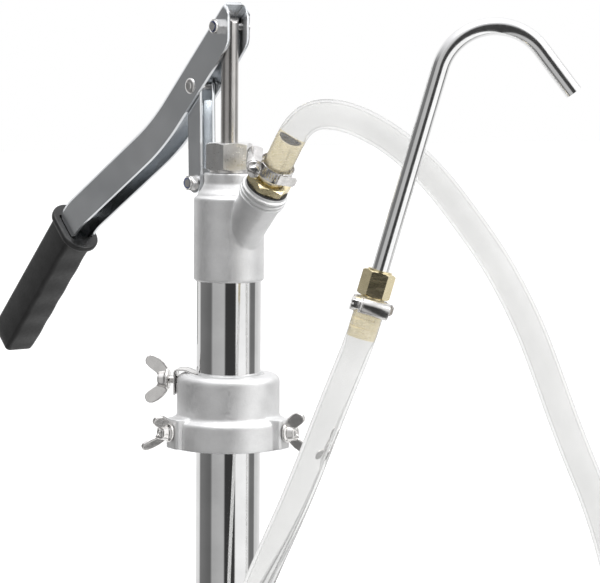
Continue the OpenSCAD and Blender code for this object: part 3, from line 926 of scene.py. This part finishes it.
    def build(self) -> None:
        """Builds the whole studio."""
        bpy.context.scene.view_settings.view_transform = "Standard"
        self.camera()
        self.surroundings()
        self.floor()
        self.lamp("key_softbox", (1.2, 0.9, 1.3), (0, 0, 0.15), 1.0, 14)
        self.lamp("top_softbox", (0.2, -0.3, 1.9), (0, 0, 0.1), 1.2, 12)
        log.info("studio ready")


# ---------------------------------------------------------------------------
# Sub-assemblies
# ---------------------------------------------------------------------------


@dataclass
class DeliveryHose:
    """Clear hose from the outlet tail round to the spout's tail."""

    outer_r: float = 10.0
    bore_r: float = 7.2
    tail_r: float = 8.85
    outlet_grip: float = 34.0
    nozzle_grip: float = 26.0
    length: float = 1.25
    flare: float = 8.0
    easing: int = 12
    route: tuple = (
        (48, 0, 195), (56, 0, 205), (63, 0, 214), (70, 0, 223), (78, 0, 231), (89, 1, 237),
        (101, 3, 239), (114, 9, 238), (128.2, 17.2, 232), (140.4, 27.5, 223),
        (151.6, 37.7, 211), (161.7, 46.9, 198), (170.9, 55.2, 183), (182.1, 64.4, 164),
        (193.3, 73.6, 144), (203.5, 80.8, 122), (212.7, 88.1, 99), (221.8, 95.3, 69),
        (232, 101.5, 38), (241.2, 108.8, 10), (250.4, 116, -17), (260.4, 125, -62),
        (267.4, 130, -108), (268.4, 130, -155), (263.4, 123, -200), (250.4, 108, -241),
        (229.4, 86, -272), (204.4, 59, -291), (177.4, 30, -296), (150.4, 0, -285),
        (127.4, -25, -261), (109.4, -45, -228), (97.4, -58, -188), (92.4, -63, -144),
        (95.1, -59.4, -101), (104.8, -47.8, -60), (116.5, -37.1, -25), (126.2, -28.5, 7),
        (134.9, -20.9, 38), (144, -13, 69), (152, -6, 95), (156, 0, 121),
    )

    def centreline(self, steps: int = 5) -> list:
        """Smooth points along the route, in metres."""
        pts = [Vector(p) * MM for p in self.route]
        ends = [2 * pts[0] - pts[1], *pts, 2 * pts[-1] - pts[-2]]
        line = []
        for p0, p1, p2, p3 in zip(ends, ends[1:], ends[2:], ends[3:]):
            for i in range(steps):
                t = i / steps
                line.append(
                    0.5 * (2 * p1 + (p2 - p0) * t + (2 * p0 - 5 * p1 + 4 * p2 - p3) * t * t
                           + (3 * p1 - p0 - 3 * p2 + p3) * t ** 3)
                )
        line.append(pts[-1])
        for _ in range(self.easing):
            line = [line[0], line[1]] + [
                (line[i - 1] + 2 * line[i] + line[i + 1]) / 4 for i in range(2, len(line) - 2)
            ] + [line[-2], line[-1]]
        return line

    def wall(self, name: str, line: list, radii: list) -> bpy.types.Object:
        """Sweeps a round section along the line as one open spline."""
        data = bpy.data.curves.new(name, "CURVE")
        data.dimensions = "3D"
        data.bevel_depth = 1.0
        data.bevel_resolution = 10
        data.use_fill_caps = False
        spline = data.splines.new("POLY")
        spline.points.add(len(line) - 1)
        for point, co, radius in zip(spline.points, line, radii):
            point.co = (*co, 1)
            point.radius = radius * MM
        obj = bpy.data.objects.new(name, data)
        bpy.context.collection.objects.link(obj)
        activate(obj)
        bpy.ops.object.convert(target="MESH")
        return bpy.context.object

    def build(self, fin: Finishes) -> bpy.types.Object:
        line = self.centreline()
        run = [0.0]
        for a, b in zip(line, line[1:]):
            run.append(run[-1] + (b - a).length / MM)
        total = run[-1]

        def bore(s: float) -> float:
            near = max(0.0, min(1.0, (self.outlet_grip + self.flare - s) / self.flare))
            past = s - (total - self.nozzle_grip - self.flare)
            far = max(0.0, min(1.0, past / self.flare))
            return self.bore_r + (self.tail_r - self.bore_r) * max(near, far)

        hose = self.wall("clear_hose", line, [self.outer_r] * len(line))
        inner = self.wall("clear_hose_bore", line, [bore(s) for s in run])
        join(hose, inner)
        bpy.ops.object.mode_set(mode="EDIT")
        bpy.ops.mesh.select_all(action="DESELECT")
        bpy.ops.mesh.select_mode(type="EDGE")
        for end in (line[0], line[-1]):
            bpy.ops.mesh.select_all(action="DESELECT")
            bm = bmesh.from_edit_mesh(hose.data)
            for edge in bm.edges:
                edge.select = edge.is_boundary and all(
                    (v.co - end).length < 1.2 * self.outer_r * MM for v in edge.verts
                )
            bmesh.update_edit_mesh(hose.data)
            bpy.ops.mesh.bridge_edge_loops()
        bpy.ops.mesh.select_mode(type="VERT")
        bpy.ops.object.mode_set(mode="OBJECT")
        outward(hose)
        smooth(hose, 50)
        dress(hose, "pump", "hose_pvc", fin.hose, "delivery_hose")
        return hose


def corner(r: float, z: float, radius: float, steps: int = 4) -> list:
    """Profile points of a rounded outer corner at radius r and height z."""
    return arc((r - radius, z - radius), radius, 0, 90, steps)


@dataclass
class BungAdapter:
    """Cast ring and collar that seat the pump on the drum's neck."""

    ring_r: float = 41.0
    ring_h: float = 25.0
    foot: float = 5.0
    collar_r: float = 36.0
    height: float = 56.0
    socket_r: float = 32.0
    socket_depth: float = 23.4
    bore_r: float = 22.6
    lug_reach: float = 46.0
    lug_w: float = 16.0
    bung_turns: tuple = (-97, 23, 143)
    bung_z: float = 18.0
    collar_turn: float = -137.0
    collar_z: float = 50.5
    shoe_w: float = 16.0
    hole_r: float = 3.1

    def casting(self, fin: Finishes) -> None:
        """Builds the cast body with its lugs, then machines it."""
        body = turned(
            "bung_adapter",
            [(0, self.foot), (self.ring_r, self.foot), *corner(self.ring_r, self.ring_h, 3),
             (self.collar_r + 1.5, self.ring_h), (self.collar_r, self.ring_h + 2.5),
             *corner(self.collar_r, self.height, 5), (0, self.height)],
            96,
        )
        for turn in self.bung_turns:
            half = self.lug_w / 2
            outline = (
                [(self.socket_r + 2, -half), (self.lug_reach - 3, -half)]
                + arc((self.lug_reach - 3, -half + 3), 3, -90, 0, 4)[1:]
                + arc((self.lug_reach - 3, half - 3), 3, 0, 90, 4)
                + [(self.socket_r + 2, half)]
            )
            lug = cut_out("lug", outline, 21, at((0, 0, 6), ("Z", turn)))
            combine(body, lug, Op.ADD)
        cast_skin(body, 0.8, 3)
        combine(body, rod("bore", self.bore_r, -5, 70, sides=96))
        combine(body, rod("socket", self.socket_r, -5, self.socket_depth, sides=96))
        lead_in = [(0, 53), (self.bore_r, 53.6), (self.bore_r + 3.4, 56.6), (0, 56.6)]
        combine(body, turned("mouth", lead_in, 96))
        for turn in self.bung_turns:
            combine(body, rod("hole", self.hole_r, 26, 60, radial(turn, self.bung_z)))
        combine(body, rod("hole", self.hole_r, 10, 60, radial(self.collar_turn, self.collar_z)))
        slot = block(
            "slot", (19.5, -self.shoe_w / 2 - 0.3, self.collar_z - 12),
            (24.3, self.shoe_w / 2 + 0.3, 60), at((0, 0, 0), ("Z", self.collar_turn)),
        )
        combine(body, slot)
        smooth(body, 32)
        dress(body, "adapter", "cast_aluminium", fin.cast, "adapter_casting")

    def shoe(self, fin: Finishes) -> None:
        """Builds the bent strip between the collar screw and the tube."""
        outer, inner, top = self.collar_r + 1.2, 23.5, 58.2
        path = (
            [(outer, 40.6)]
            + arc((outer - 2.2, top - 2.2), 2.2, 0, 90, 5)
            + [(31.0, top), (28.4, top - 0.5)]
            + arc((inner + 2.6, top - 4.3), 2.6, 100, 180, 5)
            + [(inner, 40.0)]
        )
        half = self.shoe_w / 2
        strip = traced("collar_shoe_strip", [(x, -half, z) for x, z in path])
        with all_selected(strip):
            bpy.ops.mesh.extrude_region_move(
                TRANSFORM_OT_translate={"value": (0, 2 * half * MM, 0)}
            )
        apply_modifier(strip, "SOLIDIFY", thickness=1.2 * MM, offset=0)
        outward(strip)
        soften(strip, 0.25, 2, 50)
        combine(strip, rod("hole", 3.5, 30, 45, at((0, 0, self.collar_z), ("Y", 90))))
        place(strip, at((0, 0, 0), ("Z", self.collar_turn)))
        smooth(strip, 40)
        dress(strip, "adapter", "zinc_sheet", fin.zinc, "collar_shoe")

    def build(self, fin: Finishes) -> None:
        """Builds the adapter."""
        self.casting(fin)
        self.shoe(fin)


@dataclass
class WingScrews:
    """The four wing screws: a threaded stud and a winged head on each."""

    hub_h: float = 8.2
    stud_r: float = 3.0
    screws: tuple = (
        ("bung_stud_1", "bung_wing_1", "bung_screw_1", "bung_handle_1",
         -97, 18.0, 27.0, 55.0, 140),
        ("bung_stud_2", "bung_wing_2", "bung_screw_2", "bung_handle_2",
         23, 18.0, 27.0, 55.0, 25),
        ("bung_stud_3", "bung_wing_3", "bung_screw_3", "bung_handle_3",
         143, 18.0, 27.0, 55.0, 80),
        ("collar_stud", "collar_wing", "collar_screw", "collar_handle",
         -137, 50.5, 24.3, 50.5, 4),
    )

    def stud(self, length: float) -> bpy.types.Object:
        """Turns a stud with thread grooves and a hollow-riveted end."""
        profile = [(0, 0), (self.stud_r - 1.2, 0), (self.stud_r - 0.35, 1.0)]
        z = 1.2
        while z < length - 2.2:
            profile += [(self.stud_r, z), (self.stud_r, z + 0.3), (self.stud_r - 0.45, z + 0.65)]
            z += 1.0
        profile += [
            (self.stud_r, length - 1.2), (self.stud_r, length - 0.5), (2.6, length),
            (2.1, length), (1.9, length - 0.5), (1.3, length - 0.5), (1.1, length - 0.1),
            (0.5, length - 0.1), (0.4, length - 0.4), (0, length - 0.4),
        ]
        return smooth(turned("stud", profile, 32), 40)

    def wing(self) -> bpy.types.Object:
        """Shapes the head: a flanged hub with two flared wings."""
        hub = turned(
            "wing",
            [(0, 0), (6.4, 0), (7.2, 0.6), (7.2, 2.0), (5.7, 3.3), (5.0, self.hub_h - 0.8),
             (4.3, self.hub_h), (0, self.hub_h)],
            48,
        )
        outline = [
            (0, 1), (5.5, 1), (8.5, 1.6), (12, 4.2), (15, 8), (16.8, 11.6), (17, 14),
            (15.8, 16.4), (13.4, 17.6), (10.8, 17.2), (8.2, 14.6), (6, 11.6), (4.4, 9.2), (0, 8),
        ]
        for side in (0, 180):
            ear = cut_out("ear", outline, 2.5, centred=True)
            place(ear, at((0, 0, 0), ("Z", side)) @ SIDE)
            combine(hub, ear, Op.ADD)
        cast_skin(hub, 0.42, 3)
        combine(hub, rod("bore", self.stud_r + 0.06, -2, 20))
        return smooth(hub, 50)

    def build(self, fin: Finishes) -> None:
        """Builds the four screws from one stud of each length and one head."""
        head = self.wing()
        for stud_node, wing_node, stud_body, wing_body, turn, z, inner, outer, spin in self.screws:
            base = radial(turn, z)
            stud = self.stud(outer - inner)
            stud.name = f"{stud_node}_thread"
            place(stud, base @ at((0, 0, inner)))
            dress(stud, stud_body, "zinc_hardware", fin.zinc, stud_node)
            wing = copy_of(
                head, f"{wing_node}_head",
                base @ at((0, 0, outer - self.hub_h - 0.4), ("Z", spin)),
            )
            dress(wing, wing_body, "wing_zinc", fin.wing, wing_node)
        bpy.data.objects.remove(head, do_unlink=True)


@dataclass
class PumpHead:
    """Cast head with the slanted outlet branch and the link's ear."""

    barrel_r: float = 24.5
    foot_z: float = 121.0
    shoulder_z: float = 178.0
    neck_r: float = 17.4
    neck_z: float = 196.0
    ribs: int = 3
    rib_pitch: float = 3.1

    def build(self, fin: Finishes) -> None:
        """Builds the casting, machines it and adds the ribbed rim."""
        head = turned(
            "pump_head_casting",
            [(0, self.foot_z), (self.barrel_r - 1.4, self.foot_z),
             (self.barrel_r, self.foot_z + 1.4), *corner(self.barrel_r, self.shoulder_z + 2, 2, 3),
             (21.5, self.shoulder_z + 4.2), (19.2, self.shoulder_z + 7),
             (self.neck_r, self.shoulder_z + 11), (self.neck_r, self.neck_z),
             (0, self.neck_z)],
            96,
        )
        branch = turned(
            "branch",
            [(0, -58), (5, -56.9), (8.5, -54.5), (11, -50.8), (12, -46), (15.4, -7),
             (15.2, 3), (0, 3)],
            72, OUTLET,
        )
        combine(head, branch, Op.ADD)
        ear = cut_out(
            "ear",
            [(-13, 195), (-32, 194.2)] + arc((-32, 188), 6.2, 90, 240, 10)
            + [(-22, 176), (-13, 172)],
            8, SIDE, centred=True,
        )
        combine(head, ear, Op.ADD)
        cast_skin(head, 0.7, 2)
        combine(head, rod("stub", 11.5, self.neck_z - 2, self.neck_z + 12), Op.ADD)
        combine(head, rod("tube_seat", 22.55, self.foot_z - 2, 162, sides=96))
        combine(head, rod("chamber", 18.5, 150, 174))
        combine(head, rod("rod_bore", 6.6, 150, 240))
        combine(head, rod("port", 13.05, -12, 20, OUTLET))
        combine(head, rod("ear_hole", 3.05, -10, 10, at((-32, 0, 188), ("X", 90))))
        rim = [(15.0, -8.2)]
        for i in range(self.ribs):
            z = -7.6 + self.rib_pitch * i
            rim += [(15.3, z), (16.6, z + 0.6), (16.8, z + 1.2), (16.6, z + 1.9), (15.3, z + 2.5)]
        rim += [(15.3, 2.0), (15.1, 3.0), (13.1, 3.0), (13.1, -8.2), (15.0, -8.2)]
        join(head, smooth(turned("rim", rim, 72, OUTLET), 40))
        smooth(head, 35)
        dress(head, "pump", "cast_aluminium", fin.cast, "pump_head")


def bend_arc(corner_at: tuple, a1: float, a2: float, radius: float, off: float) -> list:
    """Points on a sheet's bend, offset to the left of the direction of travel."""
    r1, r2 = math.radians(a1), math.radians(a2)
    turn, s = r2 - r1, math.copysign(1, a2 - a1)
    lead = radius * math.tan(abs(turn) / 2)
    start = (corner_at[0] - math.cos(r1) * lead, corner_at[1] - math.sin(r1) * lead)
    cx = start[0] - s * radius * math.sin(r1)
    cz = start[1] + s * radius * math.cos(r1)
    reach = s * (radius - s * off)
    return [
        (cx + reach * math.sin(r1 + turn * i / 10), cz - reach * math.cos(r1 + turn * i / 10))
        for i in range(11)
    ]


@dataclass
class Lever:
    """Pressed channel lever with its moulded grip."""

    width: float = 19.0
    height: float = 25.0
    sheet: float = 2.2
    angles: tuple = (223.6, 209.97, 225.6)
    bend_1: tuple = (-75, 221.1)
    bend_2: tuple = (-186.5, 156.8)
    tail: float = 111.0
    grip_len: float = 131.0
    finger: float = 25.0
    wave: float = 0.9
    end_crown: tuple = ((1.0, 0.25), (1.9, 0.8))
    tail_half: float = 11.0
    bend_radii: tuple = (200.0, 60.0)
    pivot: tuple = (0, 297)
    link_pivot: tuple = (-33.5, 256)

    def edge(self, off: float, tail_off: float, beyond: float = 0) -> list:
        """Edge of the channel at an offset from its centreline, pivot to grip."""
        a = math.radians(self.angles[2])
        d, n = (math.cos(a), math.sin(a)), (-math.sin(a), math.cos(a))
        return (
            bend_arc(self.bend_1, *self.angles[:2], self.bend_radii[0], off)
            + bend_arc(self.bend_2, *self.angles[1:], self.bend_radii[1], off)
            + [
                (self.bend_2[0] + s * d[0] + o * n[0], self.bend_2[1] + s * d[1] + o * n[1])
                for s, o in ((8.6, off), (11.4, tail_off), (self.tail + beyond, tail_off))
            ]
        )

    def channel(self, fin: Finishes) -> None:
        """Builds the channel: one pressed sheet, open below."""
        half, tail_half = self.height / 2, self.tail_half
        back = self.edge(-half, -tail_half)
        nose = [(10, 303), (9.2, 307), (7.5, 310), (5.9, 312.2), (4, 313.6)]
        front = [(-0.5, 274.2), (3, 278), (6.2, 281.2), (8, 283.4), (9.4, 286), (10, 289)]
        outline = nose + back + self.edge(half, tail_half)[::-1] + front
        channel = cut_out("lever_sheet", outline, self.width, SIDE, centred=True)
        edge_y = self.width / 2 - 0.01
        backs = [Vector(p) for p in nose[2:] + back]

        def on_back(x: float, y: float, z: float) -> bool:
            return abs(y) > edge_y and min((Vector((x, z)) - p).length for p in backs) < 0.05

        round_edges(channel, 3.0, 4, on_back)
        hollow_back = [(9.9, 316.1)] + self.edge(
            -half + self.sheet, -tail_half + self.sheet, 6
        )
        hollow = cut_out(
            "hollow",
            [(22, 297), (22, 316)] + hollow_back
            + self.edge(half + 12, tail_half + 12, 6)[::-1] + [(10, 265)],
            self.width - 2 * self.sheet, SIDE, centred=True,
        )
        inner = [Vector(p) for p in hollow_back]

        def in_back(x: float, y: float, z: float) -> bool:
            return abs(y) > self.width / 2 - self.sheet - 0.01 and min(
                (Vector((x, z)) - p).length for p in inner
            ) < 0.05

        round_edges(hollow, 1.0, 3, in_back)
        combine(channel, hollow, solver=Solver.TOLERANT)
        for x, z in (self.pivot, self.link_pivot):
            hole = rod("hole", 3.03, -20, 20, at((x, 0, z), ("X", 90)))
            combine(channel, hole, solver=Solver.TOLERANT)
        soften(clean_faces(channel), 0.3, 2, 40)
        even_shading(smooth(channel, 40))
        dress(channel, "lever", "zinc_sheet", fin.sheet, "lever_channel")

    def sleeve(self, fin: Finishes) -> None:
        """Builds the grip: a sleeve with finger waves and an oval lip."""
        steps, start, depth, width = 56, 0.4, 28.0, 25.0
        outline = rounded_box(depth, width, 3.6, 4)
        sleeve = traced("grip_sleeve", [(x, y, start) for x, y in outline], fill=True)
        pitch = (self.grip_len - start) / steps * MM
        with all_selected(sleeve):
            for _ in range(steps):
                bpy.ops.mesh.extrude_region_move(TRANSFORM_OT_translate={"value": (0, 0, pitch)})
            for margin, rise in self.end_crown:
                bpy.ops.mesh.inset(thickness=margin * MM, depth=rise * MM)
        for v in sleeve.data.vertices:
            x, y, z = v.co / MM
            if x < -depth / 2 + 3.7:
                along = min(1.0, z / 14) * min(1.0, (self.grip_len - z) / 6)
                wave = self.wave * (1 - math.cos(math.tau * (z - 12) / self.finger)) / 2
                crown = 1 - 0.5 * (abs(y) / (width / 2)) ** 2
                v.co.x += wave * along * crown * MM
            if z > self.grip_len - 9:
                t = (z - self.grip_len + 9) / 9
                pinch = 1 - 0.07 * t ** 2.4
                v.co.x *= pinch
                v.co.y *= pinch
        outward(sleeve)
        soften(sleeve, 0.8, 3, 60)
        lip = cut_out("lip", rounded_box(46, 30, 14.9, 10), 5)
        soften(lip, 1.7, 4, 60)
        combine(sleeve, lip, Op.ADD)
        mouth = cut_out("mouth", rounded_box(23.4, self.width + 1.0, 1.5, 3), 12, at((0, 0, -1)))
        combine(sleeve, mouth)
        smooth(sleeve, 38)
        place(sleeve, GRIP)
        dress(sleeve, "lever", "grip_plastic", fin.grip, "grip")

    def rivet(self, fin: Finishes) -> None:
        """Builds the two flat rivet heads in the lever's flanges."""
        shells = []
        for side in (-1, 1):
            m = at((self.link_pivot[0], side * self.width / 2, self.link_pivot[1]),
                   ("X", side * -90))
            shells.append(turned(
                "rivet", [(0, -self.sheet), (3, -self.sheet), (3, 0), (5.4, 0), (5.5, 0.3),
                          (5.2, 0.8), (4.2, 1.2), (2.9, 1.4), (2.5, 1.25), (1.2, 1.2), (0, 1.2)],
                48, m))
        rivet = smooth(join(*shells), 40)
        rivet.name = "lever_rivet"
        dress(rivet, "lever", "zinc_hardware", fin.zinc, "rivet_heads")

    def build(self, fin: Finishes) -> None:
        """Builds the lever."""
        self.channel(fin)
        self.sleeve(fin)
        self.rivet(fin)


@dataclass
class SwingLink:
    """Pressed channel link between the head's ear and the lever."""

    width: float = 13.6
    sheet: float = 2.5
    half_depth: float = 7.0
    length: float = 68.0165

    def build(self, fin: Finishes) -> None:
        """Builds the link."""
        d, w = self.half_depth, self.width
        outline = (
            arc((0, 0), d, 180, 360, 14) + arc((0, self.length), d, 0, 180, 14)
        )
        link = cut_out("link_sheet", outline, w, SIDE, centred=True)
        round_edges(link, 2.4, 4, lambda x, y, z: x < -d + 0.02 and abs(y) > w / 2 - 0.02)
        hollow = block("hollow", (-d + self.sheet, -w / 2 + self.sheet, -12),
                       (20, w / 2 - self.sheet, self.length + 12))
        round_edges(
            hollow, 1.0, 3,
            lambda x, y, z: x < -d + self.sheet + 0.02 and abs(y) > w / 2 - self.sheet - 0.02,
        )
        for low, high in ((-12, 10), (self.length - 10, self.length + 12)):
            window = block("window", (-12, -w / 2 + self.sheet + 0.06, low),
                           (-3, w / 2 - self.sheet - 0.06, high))
            combine(link, window, solver=Solver.TOLERANT)
        combine(link, hollow, solver=Solver.TOLERANT)
        for z in (0, self.length):
            hole = rod("hole", 3.04, -12, 12, at((0, 0, z), ("X", 90)))
            combine(link, hole, solver=Solver.TOLERANT)
        soften(clean_faces(link), 0.3, 2, 40)
        even_shading(smooth(link, 40))
        place(link, LINK)
        dress(link, "link", "zinc_sheet", fin.sheet, "swing_link")


@dataclass
class HoseClamp:
    """Worm-drive clamp: slotted band, housing and slotted hex screw."""

    name: str
    body: str
    frame: Matrix
    z: float
    turn: float
    flip: float
    tail_turn: float
    band_r: float = 11.5
    band_w: float = 9.0
    slots: int = 30

    def base(self) -> Matrix:
        """Local Z along the hose, local X out through the housing."""
        half = self.band_w / 2
        return (
            self.frame
            @ at((0, 0, self.z + half), ("Z", self.turn), ("X", self.flip))
            @ at((0, 0, -half))
        )

    def band(self, fin: Finishes) -> None:
        """Builds the band, with its slots, tail and housing."""
        r, w = self.band_r, self.band_w
        band = turned(
            f"{self.name}_strip",
            [(r, 0.4), (r + 0.25, 0), (r + 0.8, 0.15), (r + 0.65, 0.6), (r + 0.65, w - 0.6),
             (r + 0.8, w - 0.15), (r + 0.25, w), (r, w - 0.4), (r, 0.4)],
            96,
        )
        cutters = []
        for i in range(self.slots):
            turn = 45 + 270 * i / (self.slots - 1)
            cutters.append(block(
                "slot", (r - 2, -0.42, -2.6), (r + 3, 0.42, 2.6),
                at((0, 0, w / 2), ("Z", turn), ("X", 10))))
        combine(band, join(*cutters))
        tail = cut_out(
            "tail",
            [(0, 0.8), (12, 0.8), (13.4, 2.4), (13.4, w - 2.4), (12, w - 0.8), (0, w - 0.8)],
            0.7,
            at((0, 0, 0), ("Z", self.tail_turn)) @ at((r + 0.9, 0, 0), ("Z", 98))
            @ at((0, 0, 0), ("X", 90)),
        )
        inset = r + 4.2
        shell = cut_out(
            "housing",
            [(r - 0.2, -0.9)] + arc((inset, w / 2), w / 2 + 0.9, -90, 90, 14)
            + [(r - 0.2, w + 0.9)],
            18, at((0, 7, 0)) @ SIDE,
        )
        combine(shell, rod("worm_room", 3.9, -20, 20, at((inset, 0, w / 2), ("X", 90))))
        combine(shell, rod("hose_room", r + 0.3, -5, 15, sides=96))
        soften(shell, 0.45, 3, 40)
        join(band, tail, shell)
        place(band, self.base())
        smooth(band, 40)
        dress(band, "pump", "clamp_steel", fin.clamp, f"{self.name}_band")

    def screw(self, fin: Finishes) -> None:
        """Builds the worm with its flanged, slotted hex head."""
        profile = [(0, -10), (2.4, -10)]
        z = -9.6
        while z < 5.6:
            profile += [(2.9, z), (2.9, z + 0.5), (2.2, z + 0.9)]
            z += 1.5
        profile += [(2.6, 6.9), (5.0, 7.2), (5.2, 7.6), (5.0, 8.4), (3.4, 8.7), (0, 8.7)]
        screw = turned(f"{self.name}_worm", profile, 40)
        head = rod("hex", 4.6, 8.4, 14.2, sides=6)
        chamfer = [(0, 8), (6, 8), (6, 13.0), (3.9, 14.3), (0, 14.3)]
        combine(head, turned("chamfer", chamfer, 40), Op.KEEP)
        soften(head, 0.25, 2)
        combine(head, block("drive", (-6, -0.6, 12.7), (6, 0.6, 16)))
        join(screw, head)
        place(screw, at((self.band_r + 4.2, 0, self.band_w / 2), ("X", -90)))
        place(screw, self.base())
        smooth(screw, 35)
        dress(screw, self.body, "clamp_steel", fin.zinc, f"{self.name}_screw")

    def build(self, fin: Finishes) -> None:
        """Builds the clamp."""
        self.band(fin)
        self.screw(fin)


@dataclass
class LockNut:
    """M6 lock nut with its nylon ring."""

    name: str
    body: str
    node: str
    seat: Matrix

    def build(self, fin: Finishes) -> None:
        """Builds the nut with the ring set in its collar."""
        nut = rod(self.name, 10 / math.sqrt(3), 0, 4.2, sides=6)
        combine(nut, turned(
            "chamfer", [(0, -0.1), (5.2, -0.1), (5.9, 0.5), (5.9, 3.4), (5.0, 4.3), (0, 4.3)], 48
        ), Op.KEEP)
        collar = turned(
            "collar",
            [(3.9, 3.6), (4.7, 3.6), (4.7, 4.6), (4.4, 5.3), (3.9, 5.5), (3.7, 5.3),
             (3.9, 5.0), (3.9, 3.6)], 48)
        combine(nut, rod("thread", 3.05, -2, 9))
        soften(nut, 0.2, 2)
        ring = turned(
            "ring", [(3.0, 3.9), (3.95, 3.9), (3.95, 5.0), (3.6, 5.25), (3.15, 5.0), (3.0, 4.6),
                     (3.0, 3.9)], 48)
        nut.data.materials.append(fin.zinc)
        collar.data.materials.append(fin.zinc)
        ring.data.materials.append(fin.nylon)
        join(nut, collar, ring)
        place(nut, self.seat @ at((0, 0, 0), ("Z", 30)))
        smooth(nut, 40)
        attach(nut, self.body)
        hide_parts(self.node)
        log.info("%s rides on %s", nut.name, self.body)


class CarriedNodes:
    """CAD nodes whose shape is right: they only get their finish."""

    def build(self, fin: Finishes) -> None:
        """Assigns a finish to every carried node."""
        finishes = {
            "suction_tube": fin.tube, "piston_rod": fin.rod, "spout_tube": fin.spout,
            "gland_nut": fin.gland, "outlet_fitting": fin.brass, "spout_tail": fin.brass,
            "spout_nut": fin.brass, "gland_follower": fin.brass, "guide_bush": fin.brass,
            "foot_valve_body": fin.brass, "piston_body": fin.brass, "link_bolt": fin.zinc,
            "link_washers": fin.zinc, "link_pin": fin.zinc, "pivot_bolt": fin.zinc,
            "foot_valve_pin": fin.zinc, "piston_stop_ring": fin.zinc,
            "piston_plate": fin.zinc, "piston_nut": fin.zinc, "strainer": fin.zinc,
            "tube_gasket": fin.rubber, "outlet_gasket": fin.rubber,
            "foot_valve_disc": fin.rubber, "piston_valve_disc": fin.rubber,
            "gland_packing": fin.cord, "piston_cup": fin.leather,
        }
        for name, material in finishes.items():
            node = frame["nodes"][name]
            node.data.materials.clear()
            node.data.materials.append(material)
            log.info("%s keeps its shape", name)


def main() -> None:
    """Builds the studio, the hose and then every other sub-assembly in order."""
    logging.basicConfig(level=logging.INFO, format="%(message)s")
    clear_selection()
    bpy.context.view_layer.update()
    Studio().build()
    fin = Finishes()
    DeliveryHose().build(fin)
    BungAdapter().build(fin)
    WingScrews().build(fin)
    PumpHead().build(fin)
    Lever().build(fin)
    SwingLink().build(fin)
    HoseClamp("outlet_clamp", "outlet_worm", OUTLET, 14.5, -123, 0, 100).build(fin)
    HoseClamp("nozzle_clamp", "nozzle_worm", NOZZLE, -28.5, -88, 180, 200).build(fin)
    LockNut("pivot_lock_nut", "lever", "pivot_nut", at((0, -9.5, 297), ("X", 90))).build(fin)
    LockNut("link_lock_nut", "pump", "link_nut", at((-32, -7.9, 188), ("X", 90))).build(fin)
    CarriedNodes().build(fin)
    clear_selection()


if __name__ == "__main__":
    main()
